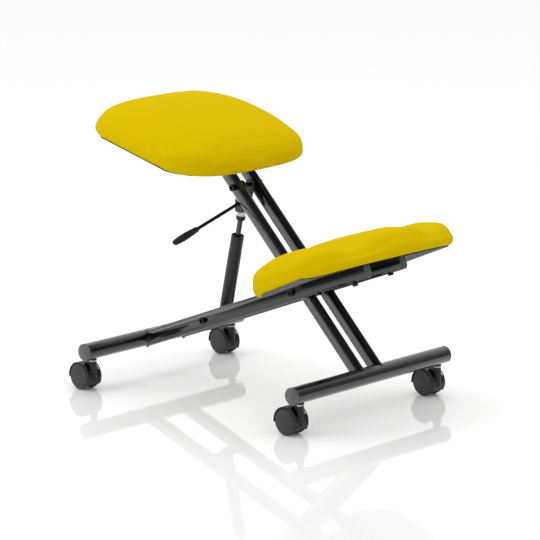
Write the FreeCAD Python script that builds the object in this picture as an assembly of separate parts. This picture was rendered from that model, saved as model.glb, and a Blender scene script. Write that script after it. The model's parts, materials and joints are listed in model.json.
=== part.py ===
import FreeCAD, Part
import math
import os

from FreeCAD import Placement, Rotation, Vector

# Kneeling chair: two crossed pairs of flat-oval tubes on four twin-wheel castors.
# X runs sideways (the sitter's left is +X), the sitter faces -Y, Z is up. Millimetres and degrees.
# The working frame has its origin on the floor, midway between the front and rear castor stems.
# At the end everything moves along Y, so that the origin is at the bottom centre of the whole chair.

X_AXIS = Vector(1, 0, 0)
Y_AXIS = Vector(0, 1, 0)
Z_AXIS = Vector(0, 0, 1)
SIDES = {"right": -1, "left": 1}
ENDS = {"front": -1, "rear": 1}

# Round cross tubes that carry the castors
WHEELBASE = 520.0
CASTOR_TRACK = 380.0
CROSS_TUBE_LENGTH = 420.0
CROSS_TUBE_OD = 32.0
CROSS_TUBE_WALL = 2.0
CROSS_CAP_RIM = 2.0
CROSS_CAP_DOME = 3.5
CROSS_CAP_PLUG = 10.0
PLUG_CLEARANCE = 0.15

# Flat-oval tubes of the crossed frame
OVAL_DEPTH = 30.0
OVAL_WIDTH = 15.0
OVAL_WALL = 1.5
KNEE_TUBE_SPACING = 98.6
KNEE_TUBE_ANGLE = 20.7
KNEE_TUBE_DROP = 3.0
KNEE_TUBE_LENGTH = 593.0
OVAL_CAP_RIM = 4.0
OVAL_CAP_EDGE = 1.5
OVAL_CAP_PLUG = 16.0
POST_SPACING = 50.0
POST_ANGLE = 46.16
PIVOT_ARM = 237.3

# Screws, bushes and spacers
M8_SHANK = 8.0
M8_HEAD = 13.0
M8_HEAD_HEIGHT = 8.0
M8_SOCKET = 6.0
M8_NUT_FLATS = 13.0
M8_NUT_HEIGHT = 8.0
M6_SHANK = 6.0
M6_HEAD = 10.5
M6_HEAD_HEIGHT = 3.0
M6_SOCKET = 4.0
M6_CLEARANCE = 0.2
M8_SOCKET_DEPTH = 4.0
M6_SOCKET_DEPTH = 2.0
THREAD_PROTRUSION = 1.0
RUNNING_CLEARANCE = 0.05
SIDE_PLAY = 0.3
BUSH_OD = 12.0
BUSH_FLANGE_OD = 20.0
BUSH_FLANGE = 2.0
SPACER_OD = 20.0
FOOT_SPACER_OD = 14.0

# Gas spring, with its release pin and the bracket at its head
CYLINDER_OD = 24.5
CYLINDER_WALL = 2.0
CYLINDER_TOP = 162.5
CYLINDER_FLOOR = 15.0
CYLINDER_FLOOR_THICK = 4.0
SEAM_FROM_TOP = 35.0
SEAM_WIDTH = 1.2
SEAM_DEPTH = 0.5
RIM_DEPTH = 2.5
RIM_LIP = 1.5
EYE_OD = 25.0
EYE_WIDTH = 18.0
GUIDE_THICK = 12.0
ROD_OD = 10.0
ROD_IN_CYLINDER = 75.0
PISTON_THICK = 8.0
PISTON_CLEARANCE = 0.1
PISTON_GROOVE = 1.5
ROD_SHOULDER = 192.8
JAM_NUT_OD = 17.5
JAM_NUT_HEIGHT = 8.0
RING_OD = 16.6
RING_COUNT = 2
RING_WAIST = 0.9
BRACKET_BASE = 209.6
BRACKET_BASE_THICK = 4.0
BRACKET_PLATE = 3.0
BRACKET_GAP = 19.0
BRACKET_FOOT_WIDTH = 11.0
BRACKET_BELLY_WIDTH = 18.0
BRACKET_BELLY_RISE = 11.0
HEAD_SPACER_OD = 14.0
BRACKET_EYE_RADIUS = 10.0
ROD_TOP = 214.0
PIN_OD = 3.0
PIN_DEPTH = 14.0
PIN_TRAVEL = 3.0
PIN_GAP = 0.15

# Release lever, which rocks in a slot of the bracket's right arm
LEVER_PIVOT = 227.1
LEVER_DROOP = 18.3
LEVER_ROD_OD = 6.5
LEVER_INNER = 14.0
LEVER_OUTER = 122.0
LEVER_LIFT = 8.0
LEVER_SLOT_PLAY = 0.4
LEVER_COLLAR_OD = 10.5
LEVER_COLLAR = 2.0
LEVER_COLLAR_GAP = 0.4
GRIP_START = 109.0
GRIP_LENGTH = 63.0
GRIP_NECK_OD = 11.0
GRIP_BELLY_OD = 15.5
GRIP_END_OD = 12.0
GRIP_FLATTEN = 0.78

# Castors: twin wheels under a hood, with the stem in a socket in the cross tube
WHEEL_OD = 50.0
WHEEL_WIDTH = 9.5
WHEEL_FACE_DOME = 1.6
WHEEL_FACE_OD = 43.0
WHEEL_SHOULDER = 2.5
WHEEL_RIM_WALL = 4.0
WHEEL_WEB = 3.0
WHEEL_HUB_OD = 12.0
WHEEL_GAP = 15.6
CASTOR_TRAIL = 22.0
AXLE_OD = 6.0
AXLE_END_GAP = 3.0
HOOD_WIDTH = 33.0
HOOD_WALL = 1.8
HOOD_CLEARANCE = 0.6
HOOD_WEB = 4.0
HOOD_REAR_ANGLE = 188.0
HOOD_FRONT_ANGLE = -33.0
HOOD_RECESS_OD = 31.0
HOOD_RECESS_FLOOR = 38.0
HUB_OD = 14.4
HUB_TOP = 55.3
STEM_OD = 11.0
STEM_SEAT = 40.0
STEM_IN_SOCKET = 24.0
STEM_TIP_CHAMFER = 1.5
STEM_RING_OD = 12.8
STEM_RING = 2.5
SOCKET_PLAY = 0.2
SOCKET_OD = 15.0
SOCKET_COLLAR_OD = 15.5
SOCKET_COLLAR = 2.0
SOCKET_RISE = 28.0
CASTOR_SWIVEL = {"rear_right": -3.0, "rear_left": -5.0, "front_right": -1.0, "front_left": -2.0}

# Both cushions: how far the flat underside stays inside the widest line
CUSHION_EDGE_INSET = 18.0
CUSHION_FULL_HALF = 110.0

# Seat: a pressed plate welded on the posts, a plywood board and a crowned cushion
SEAT_TILT = 15.1
SEAT_CENTRE_Y = 159.0
SEAT_CENTRE_Z = 456.8
SEAT_HALF_WIDTH = 190.0
SEAT_HALF_DEPTH = 158.0
SEAT_CORNER = 3.3
SEAT_RIM = 22.4
SEAT_CROWN = 42.0
SEAT_CROWN_POWER = 4.7
SEAT_BOARD_INSET = 22.0
SEAT_BOARD_RADIUS = 70.0
BOARD_THICK = 10.0
SEAT_PLATE_LENGTH = 220.0
SEAT_PLATE_WIDTH = 120.0
SEAT_PLATE_THICK = 3.0
SEAT_PLATE_FLANGE = 12.0
SEAT_PLATE_FRONT = -88.0
SEAT_SCREW_INSET = 14.0
SEAT_SCREW_REACH = 12.0

# Knee pad, with two hollows and a ridge between them
PAD_CENTRE = 524.0
PAD_HALF_WIDTH = 206.0
PAD_HALF_DEPTH = 129.0
PAD_CORNER = 3.0
PAD_RIM = 25.0
PAD_CROWN = 27.0
PAD_CROWN_POWER = 7.6
PAD_DROOP = 5.0
PAD_DROOP_START = 88.0
PAD_HOLLOW = 14.0
PAD_HOLLOW_AT = 92.0
PAD_HOLLOW_HALF_WIDTH = 66.0
PAD_BAY_DEPTH = 37.0
PAD_BAY_FLAT = 40.0
PAD_BAY_BLEND = 70.0
PAD_BOARD_INSET = 20.0
PAD_BOARD_RADIUS = 55.0
PAD_SCREW_SPACING = 90.0
PAD_SCREW_CENTRE = 512.5
SADDLE_OD = 12.0
SADDLE_FLOOR = 0.7
SADDLE_WRAP = 3.5
TEE_NUT_OD = 20.0
TEE_NUT_FLANGE = 1.5
TEE_NUT_BARREL_OD = 8.5
RECESS_CLEARANCE = 0.3

# Derived places in the side view, as (y, z)
TUBE_UNDERSIDE = HUB_TOP + STEM_RING + SOCKET_PLAY + SOCKET_COLLAR
TUBE_Z = TUBE_UNDERSIDE + CROSS_TUBE_OD / 2
AXLE_Z = WHEEL_OD / 2
KNEE_START = Vector(0, WHEELBASE / 2, TUBE_Z - KNEE_TUBE_DROP)
POST_START = Vector(0, -WHEELBASE / 2, TUBE_Z)
KNEE_HEADING = 180.0 - KNEE_TUBE_ANGLE
GAS_HEADING = 90.0 + (POST_ANGLE - KNEE_TUBE_ANGLE) / 2


def heading_vector(angle):
    """Unit vector in the side view, at an angle from +Y towards +Z."""
    return Vector(0, math.cos(math.radians(angle)), math.sin(math.radians(angle)))


def crossing_point():
    """Where the knee tubes' axis crosses the posts' axis."""
    knee = heading_vector(KNEE_HEADING)
    post = heading_vector(POST_ANGLE)
    gap = POST_START - KNEE_START
    along = (gap.y * post.z - gap.z * post.y) / (knee.y * post.z - knee.z * post.y)
    return KNEE_START + knee * along


PIVOT = crossing_point()
GAS_FOOT = PIVOT - heading_vector(KNEE_HEADING) * PIVOT_ARM
GAS_HEAD = PIVOT + heading_vector(POST_ANGLE) * PIVOT_ARM
GAS_LENGTH = (GAS_HEAD - GAS_FOOT).Length
PIVOT_ALONG_KNEE = (PIVOT - KNEE_START).Length
PIVOT_ALONG_POST = (PIVOT - POST_START).Length
SEAT_PLACE = Placement(Vector(0, SEAT_CENTRE_Y, SEAT_CENTRE_Z), Rotation(X_AXIS, SEAT_TILT))
PAD_NORMAL = heading_vector(KNEE_HEADING - 90.0)
PAD_ORIGIN = KNEE_START + heading_vector(KNEE_HEADING) * PAD_CENTRE + PAD_NORMAL * (OVAL_DEPTH / 2)
PAD_PLACE = Placement(PAD_ORIGIN, Rotation(X_AXIS, -KNEE_TUBE_ANGLE))
KNEE_TUBE_X = KNEE_TUBE_SPACING / 2
POST_X = POST_SPACING / 2
KNEE_OUTER_X = KNEE_TUBE_X + OVAL_WIDTH / 2
KNEE_INNER_X = KNEE_TUBE_X - OVAL_WIDTH / 2
POST_OUTER_X = POST_X + OVAL_WIDTH / 2
POST_INNER_X = POST_X - OVAL_WIDTH / 2
BRACKET_HALF = BRACKET_GAP / 2 + BRACKET_PLATE
LEVER_ARM = BRACKET_HALF - BRACKET_PLATE / 2
HOOD_INNER_R = WHEEL_OD / 2 + HOOD_CLEARANCE
HOOD_OUTER_R = HOOD_INNER_R + HOOD_WALL


def slope(start, heading):
    """Placement whose local Z runs along the heading from start, with local X sideways."""
    return Placement(start, Rotation(X_AXIS, heading - 90.0))


def moved(shape, placement):
    """Copy of a shape with a placement put in front of its own."""
    result = shape.copy()
    result.Placement = placement.multiply(result.Placement)
    return result


def shifted(shape, height):
    """Copy of a shape raised along Z."""
    return moved(shape, Placement(Z_AXIS * height, Rotation()))


def rod(diameter, length, start=Vector(), direction=Z_AXIS):
    """Round bar."""
    return Part.makeCylinder(diameter / 2, length, start, direction)


def ring(outer, inner, length, start=Vector(), direction=Z_AXIS):
    """Round bar with a bore."""
    margin = direction * 1.0
    bore = rod(inner, length + 2.0, start - margin, direction)
    return rod(outer, length, start, direction).cut(bore)


def cross_bar(diameter, x_from, x_to, centre):
    """Round bar along X between two values of x, at a point of the side view."""
    return rod(diameter, x_to - x_from, Vector(x_from, centre.y, centre.z), X_AXIS)


def block(x_size, y_size, z_size, centre_x=0.0, centre_y=0.0, base_z=0.0):
    """Box centred on X and Y, standing on base_z."""
    corner = Vector(centre_x - x_size / 2, centre_y - y_size / 2, base_z)
    return Part.makeBox(x_size, y_size, z_size, corner)


def hexagon(flats, height, start, direction):
    """Hexagonal prism across the given flats."""
    radius = flats / math.sqrt(3.0)
    turns = [math.radians(60 * i) for i in range(6)]
    corners = [Vector(radius * math.cos(t), radius * math.sin(t), 0) for t in turns]
    prism = Part.Face(Part.makePolygon(corners + corners[:1])).extrude(Z_AXIS * height)
    return moved(prism, Placement(start, Rotation(Z_AXIS, direction)))


def dome_middle(radius, base, rise):
    """Point halfway along a spherical dome's profile, as (radius, z), from its rim at base to its top."""
    sphere = (radius * radius + rise * rise) / (2 * rise)
    half = math.asin(radius / sphere) / 2
    return sphere * math.sin(half), base + rise - sphere * (1 - math.cos(half))


def revolved(points, arcs=()):
    """Solid of revolution about Z from (radius, z) points; arcs maps a start index to a midpoint."""
    middle = dict(arcs)
    corners = [Vector(r, 0, z) for r, z in points]
    edges = []
    for i, start in enumerate(corners):
        end = corners[(i + 1) % len(corners)]
        if i in middle:
            r, z = middle[i]
            edges.append(Part.Arc(start, Vector(r, 0, z), end).toShape())
        else:
            edges.append(Part.LineSegment(start, end).toShape())
    return Part.Face(Part.Wire(edges)).revolve(Vector(), Z_AXIS, 360)


def oval_prism(width, depth, length):
    """Flat-oval bar: semicircular ends along Y, flats along X, length along Z."""
    radius = width / 2
    reach = depth / 2 - radius
    a, b = Vector(radius, -reach, 0), Vector(radius, reach, 0)
    c, d = Vector(-radius, reach, 0), Vector(-radius, -reach, 0)
    edges = [
        Part.LineSegment(a, b).toShape(),
        Part.Arc(b, Vector(0, depth / 2, 0), c).toShape(),
        Part.LineSegment(c, d).toShape(),
        Part.Arc(d, Vector(0, -depth / 2, 0), a).toShape(),
    ]
    return Part.Face(Part.Wire(edges)).extrude(Z_AXIS * length)


def oval_tube(length):
    """Flat-oval tube with its wall."""
    bore = oval_prism(OVAL_WIDTH - 2 * OVAL_WALL, OVAL_DEPTH - 2 * OVAL_WALL, length + 2.0)
    return oval_prism(OVAL_WIDTH, OVAL_DEPTH, length).cut(shifted(bore, -1.0))


def socket_screw(head, head_height, socket, socket_depth, shank, length, start, direction):
    """Socket-head screw; start is the seat under the head and the shank runs along direction."""
    chamfer = 0.8
    top = -head_height
    radius = head / 2
    profile = [(0, top), (radius - chamfer, top), (radius, top + chamfer), (radius, 0),
               (shank / 2, 0), (shank / 2, length - chamfer), (shank / 2 - chamfer, length), (0, length)]
    recess = hexagon(socket, socket_depth + 1.0, Vector(0, 0, -head_height - 1.0), Z_AXIS)
    return moved(revolved(profile).cut(recess), Placement(start, Rotation(Z_AXIS, direction)))


def cross_screw(outer_x, centre):
    """M8 cap screw along X through everything between two outer faces, long enough for its lock nut."""
    length = 2 * outer_x + M8_NUT_HEIGHT + THREAD_PROTRUSION
    start = Vector(-outer_x, centre.y, centre.z)
    return socket_screw(M8_HEAD, M8_HEAD_HEIGHT, M8_SOCKET, M8_SOCKET_DEPTH, M8_SHANK, length, start, X_AXIS)


def cushion_screw(start):
    """M6 button-head screw up through a board from start, which is its seat, to the tee nut's flange."""
    length = BOARD_THICK + TEE_NUT_FLANGE - start.z
    return socket_screw(M6_HEAD, M6_HEAD_HEIGHT, M6_SOCKET, M6_SOCKET_DEPTH, M6_SHANK, length, start, Z_AXIS)


def side_rings(outer, bore, x_from, x_to, centre):
    """Pair of rings on a cross screw, one on each side, between two distances from the middle."""
    starts = {s: Vector(s * x_from, centre.y, centre.z) for s in SIDES.values()}
    return Part.makeCompound([ring(outer, bore, x_to - x_from, starts[s], X_AXIS * s) for s in starts])


def lock_nut(flats, height, bore, start, direction):
    """Hexagonal nut with a round locking collar on its far side."""
    hex_height = 0.72 * height
    radius = 0.45 * flats
    body = hexagon(flats, hex_height, Vector(), Z_AXIS)
    cone = Part.makeCone(0.62 * flats, 0.5 * flats, hex_height)
    collar = revolved([(0, 0), (radius, 0), (radius, height - 1.0), (radius - 1.0, height), (0, height)])
    nut = body.common(cone).fuse(collar).cut(rod(bore, height + 2.0, Vector(0, 0, -1)))
    return moved(nut.removeSplitter(), Placement(start, Rotation(Z_AXIS, direction)))


# Castor sockets and cross tubes

def stem_point(end, side):
    """Point on the floor under one castor's stem."""
    return Vector(SIDES[side] * CASTOR_TRACK / 2, ENDS[end] * WHEELBASE / 2, 0)


def cross_tube(end):
    """Round tube with a hole from below for each castor socket."""
    y = ENDS[end] * WHEELBASE / 2
    start = Vector(-CROSS_TUBE_LENGTH / 2, y, TUBE_Z)
    tube = ring(CROSS_TUBE_OD, CROSS_TUBE_OD - 2 * CROSS_TUBE_WALL, CROSS_TUBE_LENGTH, start, X_AXIS)
    for side in SIDES:
        foot = stem_point(end, side)
        tube = tube.cut(rod(SOCKET_OD, CROSS_TUBE_OD / 2, foot + Z_AXIS * (TUBE_UNDERSIDE - 1.0)))
    return tube


def cross_tube_caps(end):
    """Pair of domed plastic caps plugged into the ends of a cross tube."""
    radius = CROSS_TUBE_OD / 2
    plug = radius - CROSS_TUBE_WALL - PLUG_CLEARANCE
    face = CROSS_CAP_RIM + CROSS_CAP_DOME
    bulge = dome_middle(radius, CROSS_CAP_RIM, CROSS_CAP_DOME)
    profile = [(0, -CROSS_CAP_PLUG), (plug - 1.0, -CROSS_CAP_PLUG), (plug, -CROSS_CAP_PLUG + 1.0), (plug, 0),
               (radius, 0), (radius, CROSS_CAP_RIM), (0, face)]
    cap = revolved(profile, {5: bulge})
    y = ENDS[end] * WHEELBASE / 2
    caps = []
    for direction in SIDES.values():
        end = Vector(direction * CROSS_TUBE_LENGTH / 2, y, TUBE_Z)
        caps.append(moved(cap, Placement(end, Rotation(Z_AXIS, X_AXIS * direction))))
    return Part.makeCompound(caps)


def castor_sockets(end):
    """Pair of stem sockets: a sleeve inside the tube over a collar that fits the tube's underside."""
    tube_y = ENDS[end] * WHEELBASE / 2
    tube = cross_bar(CROSS_TUBE_OD, -CROSS_TUBE_LENGTH / 2, CROSS_TUBE_LENGTH / 2, Vector(0, tube_y, TUBE_Z))
    bore = STEM_OD + 2 * RUNNING_CLEARANCE
    sockets = []
    for side in SIDES:
        foot = stem_point(end, side)
        base = foot + Z_AXIS * (TUBE_UNDERSIDE - SOCKET_COLLAR)
        collar = ring(SOCKET_COLLAR_OD, bore, SOCKET_COLLAR + CROSS_TUBE_OD / 4, base).cut(tube)
        sleeve = ring(SOCKET_OD, bore, SOCKET_COLLAR + SOCKET_RISE, base)
        sockets.append(collar.fuse(sleeve).removeSplitter())
    return Part.makeCompound(sockets)


# Flat-oval frame tubes

def knee_tube(side):
    """Tube from the rear cross tube forward and up to the knee pad, with its drilled holes."""
    tube = oval_tube(KNEE_TUBE_LENGTH)
    for along in pad_screw_stations():
        below = Vector(0, -OVAL_DEPTH / 2 - 1.0, along)
        tube = tube.cut(rod(M6_SHANK + 2 * M6_CLEARANCE, OVAL_DEPTH + 2.0, below, Y_AXIS))
    for along in (PIVOT_ALONG_KNEE, PIVOT_ALONG_KNEE - PIVOT_ARM):
        tube = tube.cut(rod(M8_SHANK, OVAL_WIDTH + 2.0, Vector(-OVAL_WIDTH / 2 - 1.0, 0, along), X_AXIS))
    tube = moved(tube, slope(KNEE_START + X_AXIS * (SIDES[side] * KNEE_TUBE_X), KNEE_HEADING))
    return tube.cut(cross_bar(CROSS_TUBE_OD, -CROSS_TUBE_LENGTH / 2, CROSS_TUBE_LENGTH / 2,
                              Vector(0, WHEELBASE / 2, TUBE_Z)))


def knee_tube_caps():
    """Pair of oval caps in the knee tubes' front ends."""
    plug_width = OVAL_WIDTH - 2 * OVAL_WALL - 2 * PLUG_CLEARANCE
    plug_depth = OVAL_DEPTH - 2 * OVAL_WALL - 2 * PLUG_CLEARANCE
    rim = oval_prism(OVAL_WIDTH, OVAL_DEPTH, OVAL_CAP_RIM)
    front_edges = [e for e in rim.Edges if min(v.Z for v in e.Vertexes) > OVAL_CAP_RIM - 0.01]
    rim = rim.makeFillet(OVAL_CAP_EDGE, front_edges)
    plug = shifted(oval_prism(plug_width, plug_depth, OVAL_CAP_PLUG), -OVAL_CAP_PLUG)
    cap = rim.fuse(plug).removeSplitter()
    end = KNEE_START + heading_vector(KNEE_HEADING) * KNEE_TUBE_LENGTH
    ends = [end + X_AXIS * (s * KNEE_TUBE_X) for s in SIDES.values()]
    return Part.makeCompound([moved(cap, slope(point, KNEE_HEADING)) for point in ends])


def seat_plate_underside():
    """Half-space solid above the seat plate's underside, to trim the posts."""
    height = 4 * SEAT_CROWN
    above = block(2 * SEAT_HALF_WIDTH, 4 * SEAT_HALF_DEPTH, height, base_z=-SEAT_PLATE_THICK)
    return moved(above, SEAT_PLACE)


def seat_post(side):
    """Tube from the front cross tube back and up to the seat plate, bored for its bushes and head bolt."""
    tube = oval_tube(PIVOT_ALONG_POST + PIVOT_ARM + SEAT_HALF_DEPTH)
    pivot = Vector(-OVAL_WIDTH / 2 - 1.0, 0, PIVOT_ALONG_POST)
    head = pivot + Z_AXIS * PIVOT_ARM
    tube = tube.cut(rod(BUSH_OD, OVAL_WIDTH + 2.0, pivot, X_AXIS))
    tube = tube.cut(rod(M8_SHANK, OVAL_WIDTH + 2.0, head, X_AXIS))
    tube = moved(tube, slope(POST_START + X_AXIS * (SIDES[side] * POST_X), POST_ANGLE))
    tube = tube.cut(cross_bar(CROSS_TUBE_OD, -CROSS_TUBE_LENGTH / 2, CROSS_TUBE_LENGTH / 2,
                              Vector(0, -WHEELBASE / 2, TUBE_Z)))
    return tube.cut(seat_plate_underside())


# Pivots of the crossed frame and of the gas spring

def pivot_bolt():
    """Long screw through both knee tubes and both posts."""
    return cross_screw(KNEE_OUTER_X, PIVOT)


def pivot_bushes():
    """Flanged bush through each post, running on the pivot bolt."""
    bore = M8_SHANK + 2 * RUNNING_CLEARANCE
    bushes = []
    for s in SIDES.values():
        inner = Vector(s * POST_INNER_X, PIVOT.y, PIVOT.z)
        outer = Vector(s * POST_OUTER_X, PIVOT.y, PIVOT.z)
        sleeve = ring(BUSH_OD, bore, OVAL_WIDTH + BUSH_FLANGE, inner, X_AXIS * s)
        flange = ring(BUSH_FLANGE_OD, bore, BUSH_FLANGE, outer, X_AXIS * s)
        bushes.append(sleeve.fuse(flange).removeSplitter())
    return Part.makeCompound(bushes)


def pivot_spacers():
    """Spacer on the pivot bolt between each knee tube and the post's bush."""
    return side_rings(SPACER_OD, M8_SHANK, POST_OUTER_X + BUSH_FLANGE + SIDE_PLAY, KNEE_INNER_X, PIVOT)


def gas_foot_bolt():
    """Screw across the knee tubes that carries the gas spring's eye."""
    return cross_screw(KNEE_OUTER_X, GAS_FOOT)


def gas_foot_spacers():
    """Tube on the foot bolt at each side of the eye."""
    return side_rings(FOOT_SPACER_OD, M8_SHANK, EYE_WIDTH / 2 + SIDE_PLAY, KNEE_INNER_X, GAS_FOOT)


def gas_head_bolt():
    """Screw across the posts that carries the gas spring's bracket."""
    return cross_screw(POST_OUTER_X, GAS_HEAD)


def gas_head_spacers():
    """Ring on the head bolt between the bracket and each post."""
    return side_rings(HEAD_SPACER_OD, M8_SHANK, BRACKET_HALF + SIDE_PLAY, POST_INNER_X, GAS_HEAD)


def far_nut(outer_x, centre):
    """Lock nut on the left end of a cross bolt."""
    return lock_nut(M8_NUT_FLATS, M8_NUT_HEIGHT, M8_SHANK, Vector(outer_x, centre.y, centre.z), X_AXIS)


# Gas spring, built in its own frame with the foot pivot at the origin and local Z towards the head

GAS_PLACE = slope(GAS_FOOT, GAS_HEADING)


def gas_cylinder():
    """Pressure tube with a closed floor, a rolled rim, a seam groove and the welded foot eye."""
    radius = CYLINDER_OD / 2
    bore = radius - CYLINDER_WALL
    floor = CYLINDER_FLOOR + CYLINDER_FLOOR_THICK
    foot = CYLINDER_FLOOR - CYLINDER_FLOOR_THICK
    top = CYLINDER_TOP
    seam = top - SEAM_FROM_TOP
    groove = radius - SEAM_DEPTH
    upper = radius - SEAM_DEPTH / 2
    profile = [(0, foot), (radius - 3.0, foot), (radius, CYLINDER_FLOOR + 2.0),
               (radius, seam - SEAM_WIDTH), (groove, seam - SEAM_WIDTH / 2), (groove, seam),
               (upper, seam), (upper, top - 1.0), (radius - RIM_LIP, top), (bore, top - RIM_DEPTH),
               (bore, floor), (0, floor)]
    barrel = revolved(profile)
    eye = rod(EYE_OD, EYE_WIDTH, Vector(-EYE_WIDTH / 2, 0, 0), X_AXIS)
    outside = Vector(-EYE_WIDTH / 2 - 1.0, 0, 0)
    hole = rod(M8_SHANK + 2 * RUNNING_CLEARANCE, EYE_WIDTH + 2.0, outside, X_AXIS)
    return moved(barrel.fuse(eye).cut(hole).removeSplitter(), GAS_PLACE)


def gas_guide():
    """Rod guide and seal in the mouth of the cylinder."""
    bore = ROD_OD + 2 * RUNNING_CLEARANCE
    outer = CYLINDER_OD - 2 * CYLINDER_WALL
    start = Vector(0, 0, CYLINDER_TOP - RIM_DEPTH - GUIDE_THICK)
    return moved(ring(outer, bore, GUIDE_THICK, start), GAS_PLACE)


def piston_rod():
    """Rod with its grooved piston, bored at its head for the release pin."""
    foot = CYLINDER_TOP - ROD_IN_CYLINDER
    base = foot - PISTON_THICK
    edge = ROD_TOP - 0.8
    radius = ROD_OD / 2
    outer = CYLINDER_OD / 2 - CYLINDER_WALL - PISTON_CLEARANCE
    groove = outer - PISTON_GROOVE
    profile = [(0, base), (outer, base), (outer, base + 3.0), (groove, base + 3.0), (groove, base + 5.0),
               (outer, base + 5.0), (outer, foot), (radius, foot), (radius, edge), (radius - 0.8, ROD_TOP),
               (0, ROD_TOP)]
    pin_foot = Vector(0, 0, ROD_TOP - PIN_DEPTH - PIN_TRAVEL)
    pin_bore = rod(PIN_OD + 2 * RUNNING_CLEARANCE, PIN_DEPTH + PIN_TRAVEL + 1.0, pin_foot)
    return moved(revolved(profile).cut(pin_bore), GAS_PLACE)


def jam_nut():
    """Round knurled nut under the nylon rings."""
    edge = 0.8
    radius = JAM_NUT_OD / 2
    top = ROD_SHOULDER + JAM_NUT_HEIGHT
    profile = [(ROD_OD / 2, ROD_SHOULDER), (radius - edge, ROD_SHOULDER), (radius, ROD_SHOULDER + edge),
               (radius, top - edge), (radius - edge, top), (ROD_OD / 2, top)]
    return moved(revolved(profile), GAS_PLACE)


def nylon_rings():
    """Stack of rings between the jam nut and the bracket, each with a waist."""
    base = ROD_SHOULDER + JAM_NUT_HEIGHT
    height = (BRACKET_BASE - base) / RING_COUNT
    radius = RING_OD / 2
    waist = radius - RING_WAIST
    profile = [(ROD_OD / 2, 0), (waist, 0), (radius, RING_WAIST), (radius, height - RING_WAIST),
               (waist, height), (ROD_OD / 2, height)]
    single = revolved(profile)
    stack = [shifted(single, base + i * height) for i in range(RING_COUNT)]
    return Part.makeCompound([moved(single, GAS_PLACE) for single in stack])


def bracket_arm(side):
    """Plate arm: round about the head pivot, widest at the lever and drawn in to the foot."""
    outer = side * BRACKET_HALF
    x = min(outer, outer - side * BRACKET_PLATE)
    foot = BRACKET_FOOT_WIDTH / 2
    belly = BRACKET_BELLY_WIDTH / 2
    belly_height = BRACKET_BASE + BRACKET_BELLY_RISE
    taper = math.asin((BRACKET_EYE_RADIUS - belly) / (GAS_LENGTH - belly_height))
    reach = BRACKET_EYE_RADIUS * math.cos(taper)
    shoulder = GAS_LENGTH - BRACKET_EYE_RADIUS * math.sin(taper)
    outline = [Vector(x, reach, shoulder), Vector(x, belly, belly_height), Vector(x, foot, BRACKET_BASE),
               Vector(x, -foot, BRACKET_BASE), Vector(x, -belly, belly_height), Vector(x, -reach, shoulder)]
    edges = [Part.LineSegment(p, q).toShape() for p, q in zip(outline, outline[1:])]
    top = Vector(x, 0, GAS_LENGTH + BRACKET_EYE_RADIUS)
    edges.append(Part.Arc(outline[-1], top, outline[0]).toShape())
    return Part.Face(Part.Wire(edges)).extrude(X_AXIS * BRACKET_PLATE)


def rod_bracket():
    """U-shaped bracket on the rod's head, with the lever's slot in its right arm."""
    base = block(2 * BRACKET_HALF, BRACKET_FOOT_WIDTH, BRACKET_BASE_THICK, base_z=BRACKET_BASE)
    body = base.fuse([bracket_arm(s) for s in SIDES.values()]).removeSplitter()
    side = Vector(-BRACKET_HALF - 1.0, 0, GAS_LENGTH)
    bolt_hole = rod(M8_SHANK + 2 * RUNNING_CLEARANCE, 2 * BRACKET_HALF + 2.0, side, X_AXIS)
    rod_hole = rod(ROD_OD, BRACKET_BASE_THICK + 2.0, Vector(0, 0, BRACKET_BASE - 1.0))
    droop = BRACKET_PLATE * math.tan(math.radians(LEVER_DROOP))
    slot_depth = LEVER_ROD_OD / math.cos(math.radians(LEVER_DROOP)) + droop + 2 * LEVER_SLOT_PLAY
    slot = oval_prism(LEVER_ROD_OD + 2 * LEVER_SLOT_PLAY, slot_depth, BRACKET_PLATE + 2.0)
    outside = Vector(-BRACKET_HALF - 1.0, 0, LEVER_PIVOT)
    slot = moved(slot, Placement(outside, Rotation(X_AXIS, 90).multiply(Rotation(Y_AXIS, 90))))
    return moved(body.cut([bolt_hole, rod_hole, slot]), GAS_PLACE)


def lever_height(x):
    """Height of the lever's axis above its pivot, at x in the gas spring's frame."""
    return (x + LEVER_ARM) * math.tan(math.radians(LEVER_DROOP))


def release_pin():
    """Pin in the rod's head that the lever's inner end presses down."""
    half_rod = LEVER_ROD_OD / 2 / math.cos(math.radians(LEVER_DROOP))
    top = LEVER_PIVOT + lever_height(-PIN_OD / 2) - half_rod - PIN_GAP
    base = ROD_TOP - PIN_DEPTH
    radius = PIN_OD / 2
    profile = [(0, base), (radius, base), (radius, top - 0.4), (radius - 0.4, top), (0, top)]
    return moved(revolved(profile), GAS_PLACE)


LEVER_AXIS_POINT = Vector(-LEVER_ARM, 0, LEVER_PIVOT)
LEVER_PLACE = GAS_PLACE.multiply(Placement(LEVER_AXIS_POINT, Rotation(Y_AXIS, -(90.0 + LEVER_DROOP))))


def lever_rod():
    """Round rod through the bracket's arm, with a collar on each side of the arm; local Z runs outwards."""
    body = rod(LEVER_ROD_OD, LEVER_INNER + LEVER_OUTER, Vector(0, 0, -LEVER_INNER))
    lean = math.radians(LEVER_DROOP)
    gap = (BRACKET_PLATE / 2 + LEVER_COLLAR_GAP + LEVER_COLLAR_OD / 2 * math.sin(lean)) / math.cos(lean)
    collars = [rod(LEVER_COLLAR_OD, LEVER_COLLAR, Vector(0, 0, z)) for z in (gap, -gap - LEVER_COLLAR)]
    return moved(body.fuse(collars).removeSplitter(), LEVER_PLACE)


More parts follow.
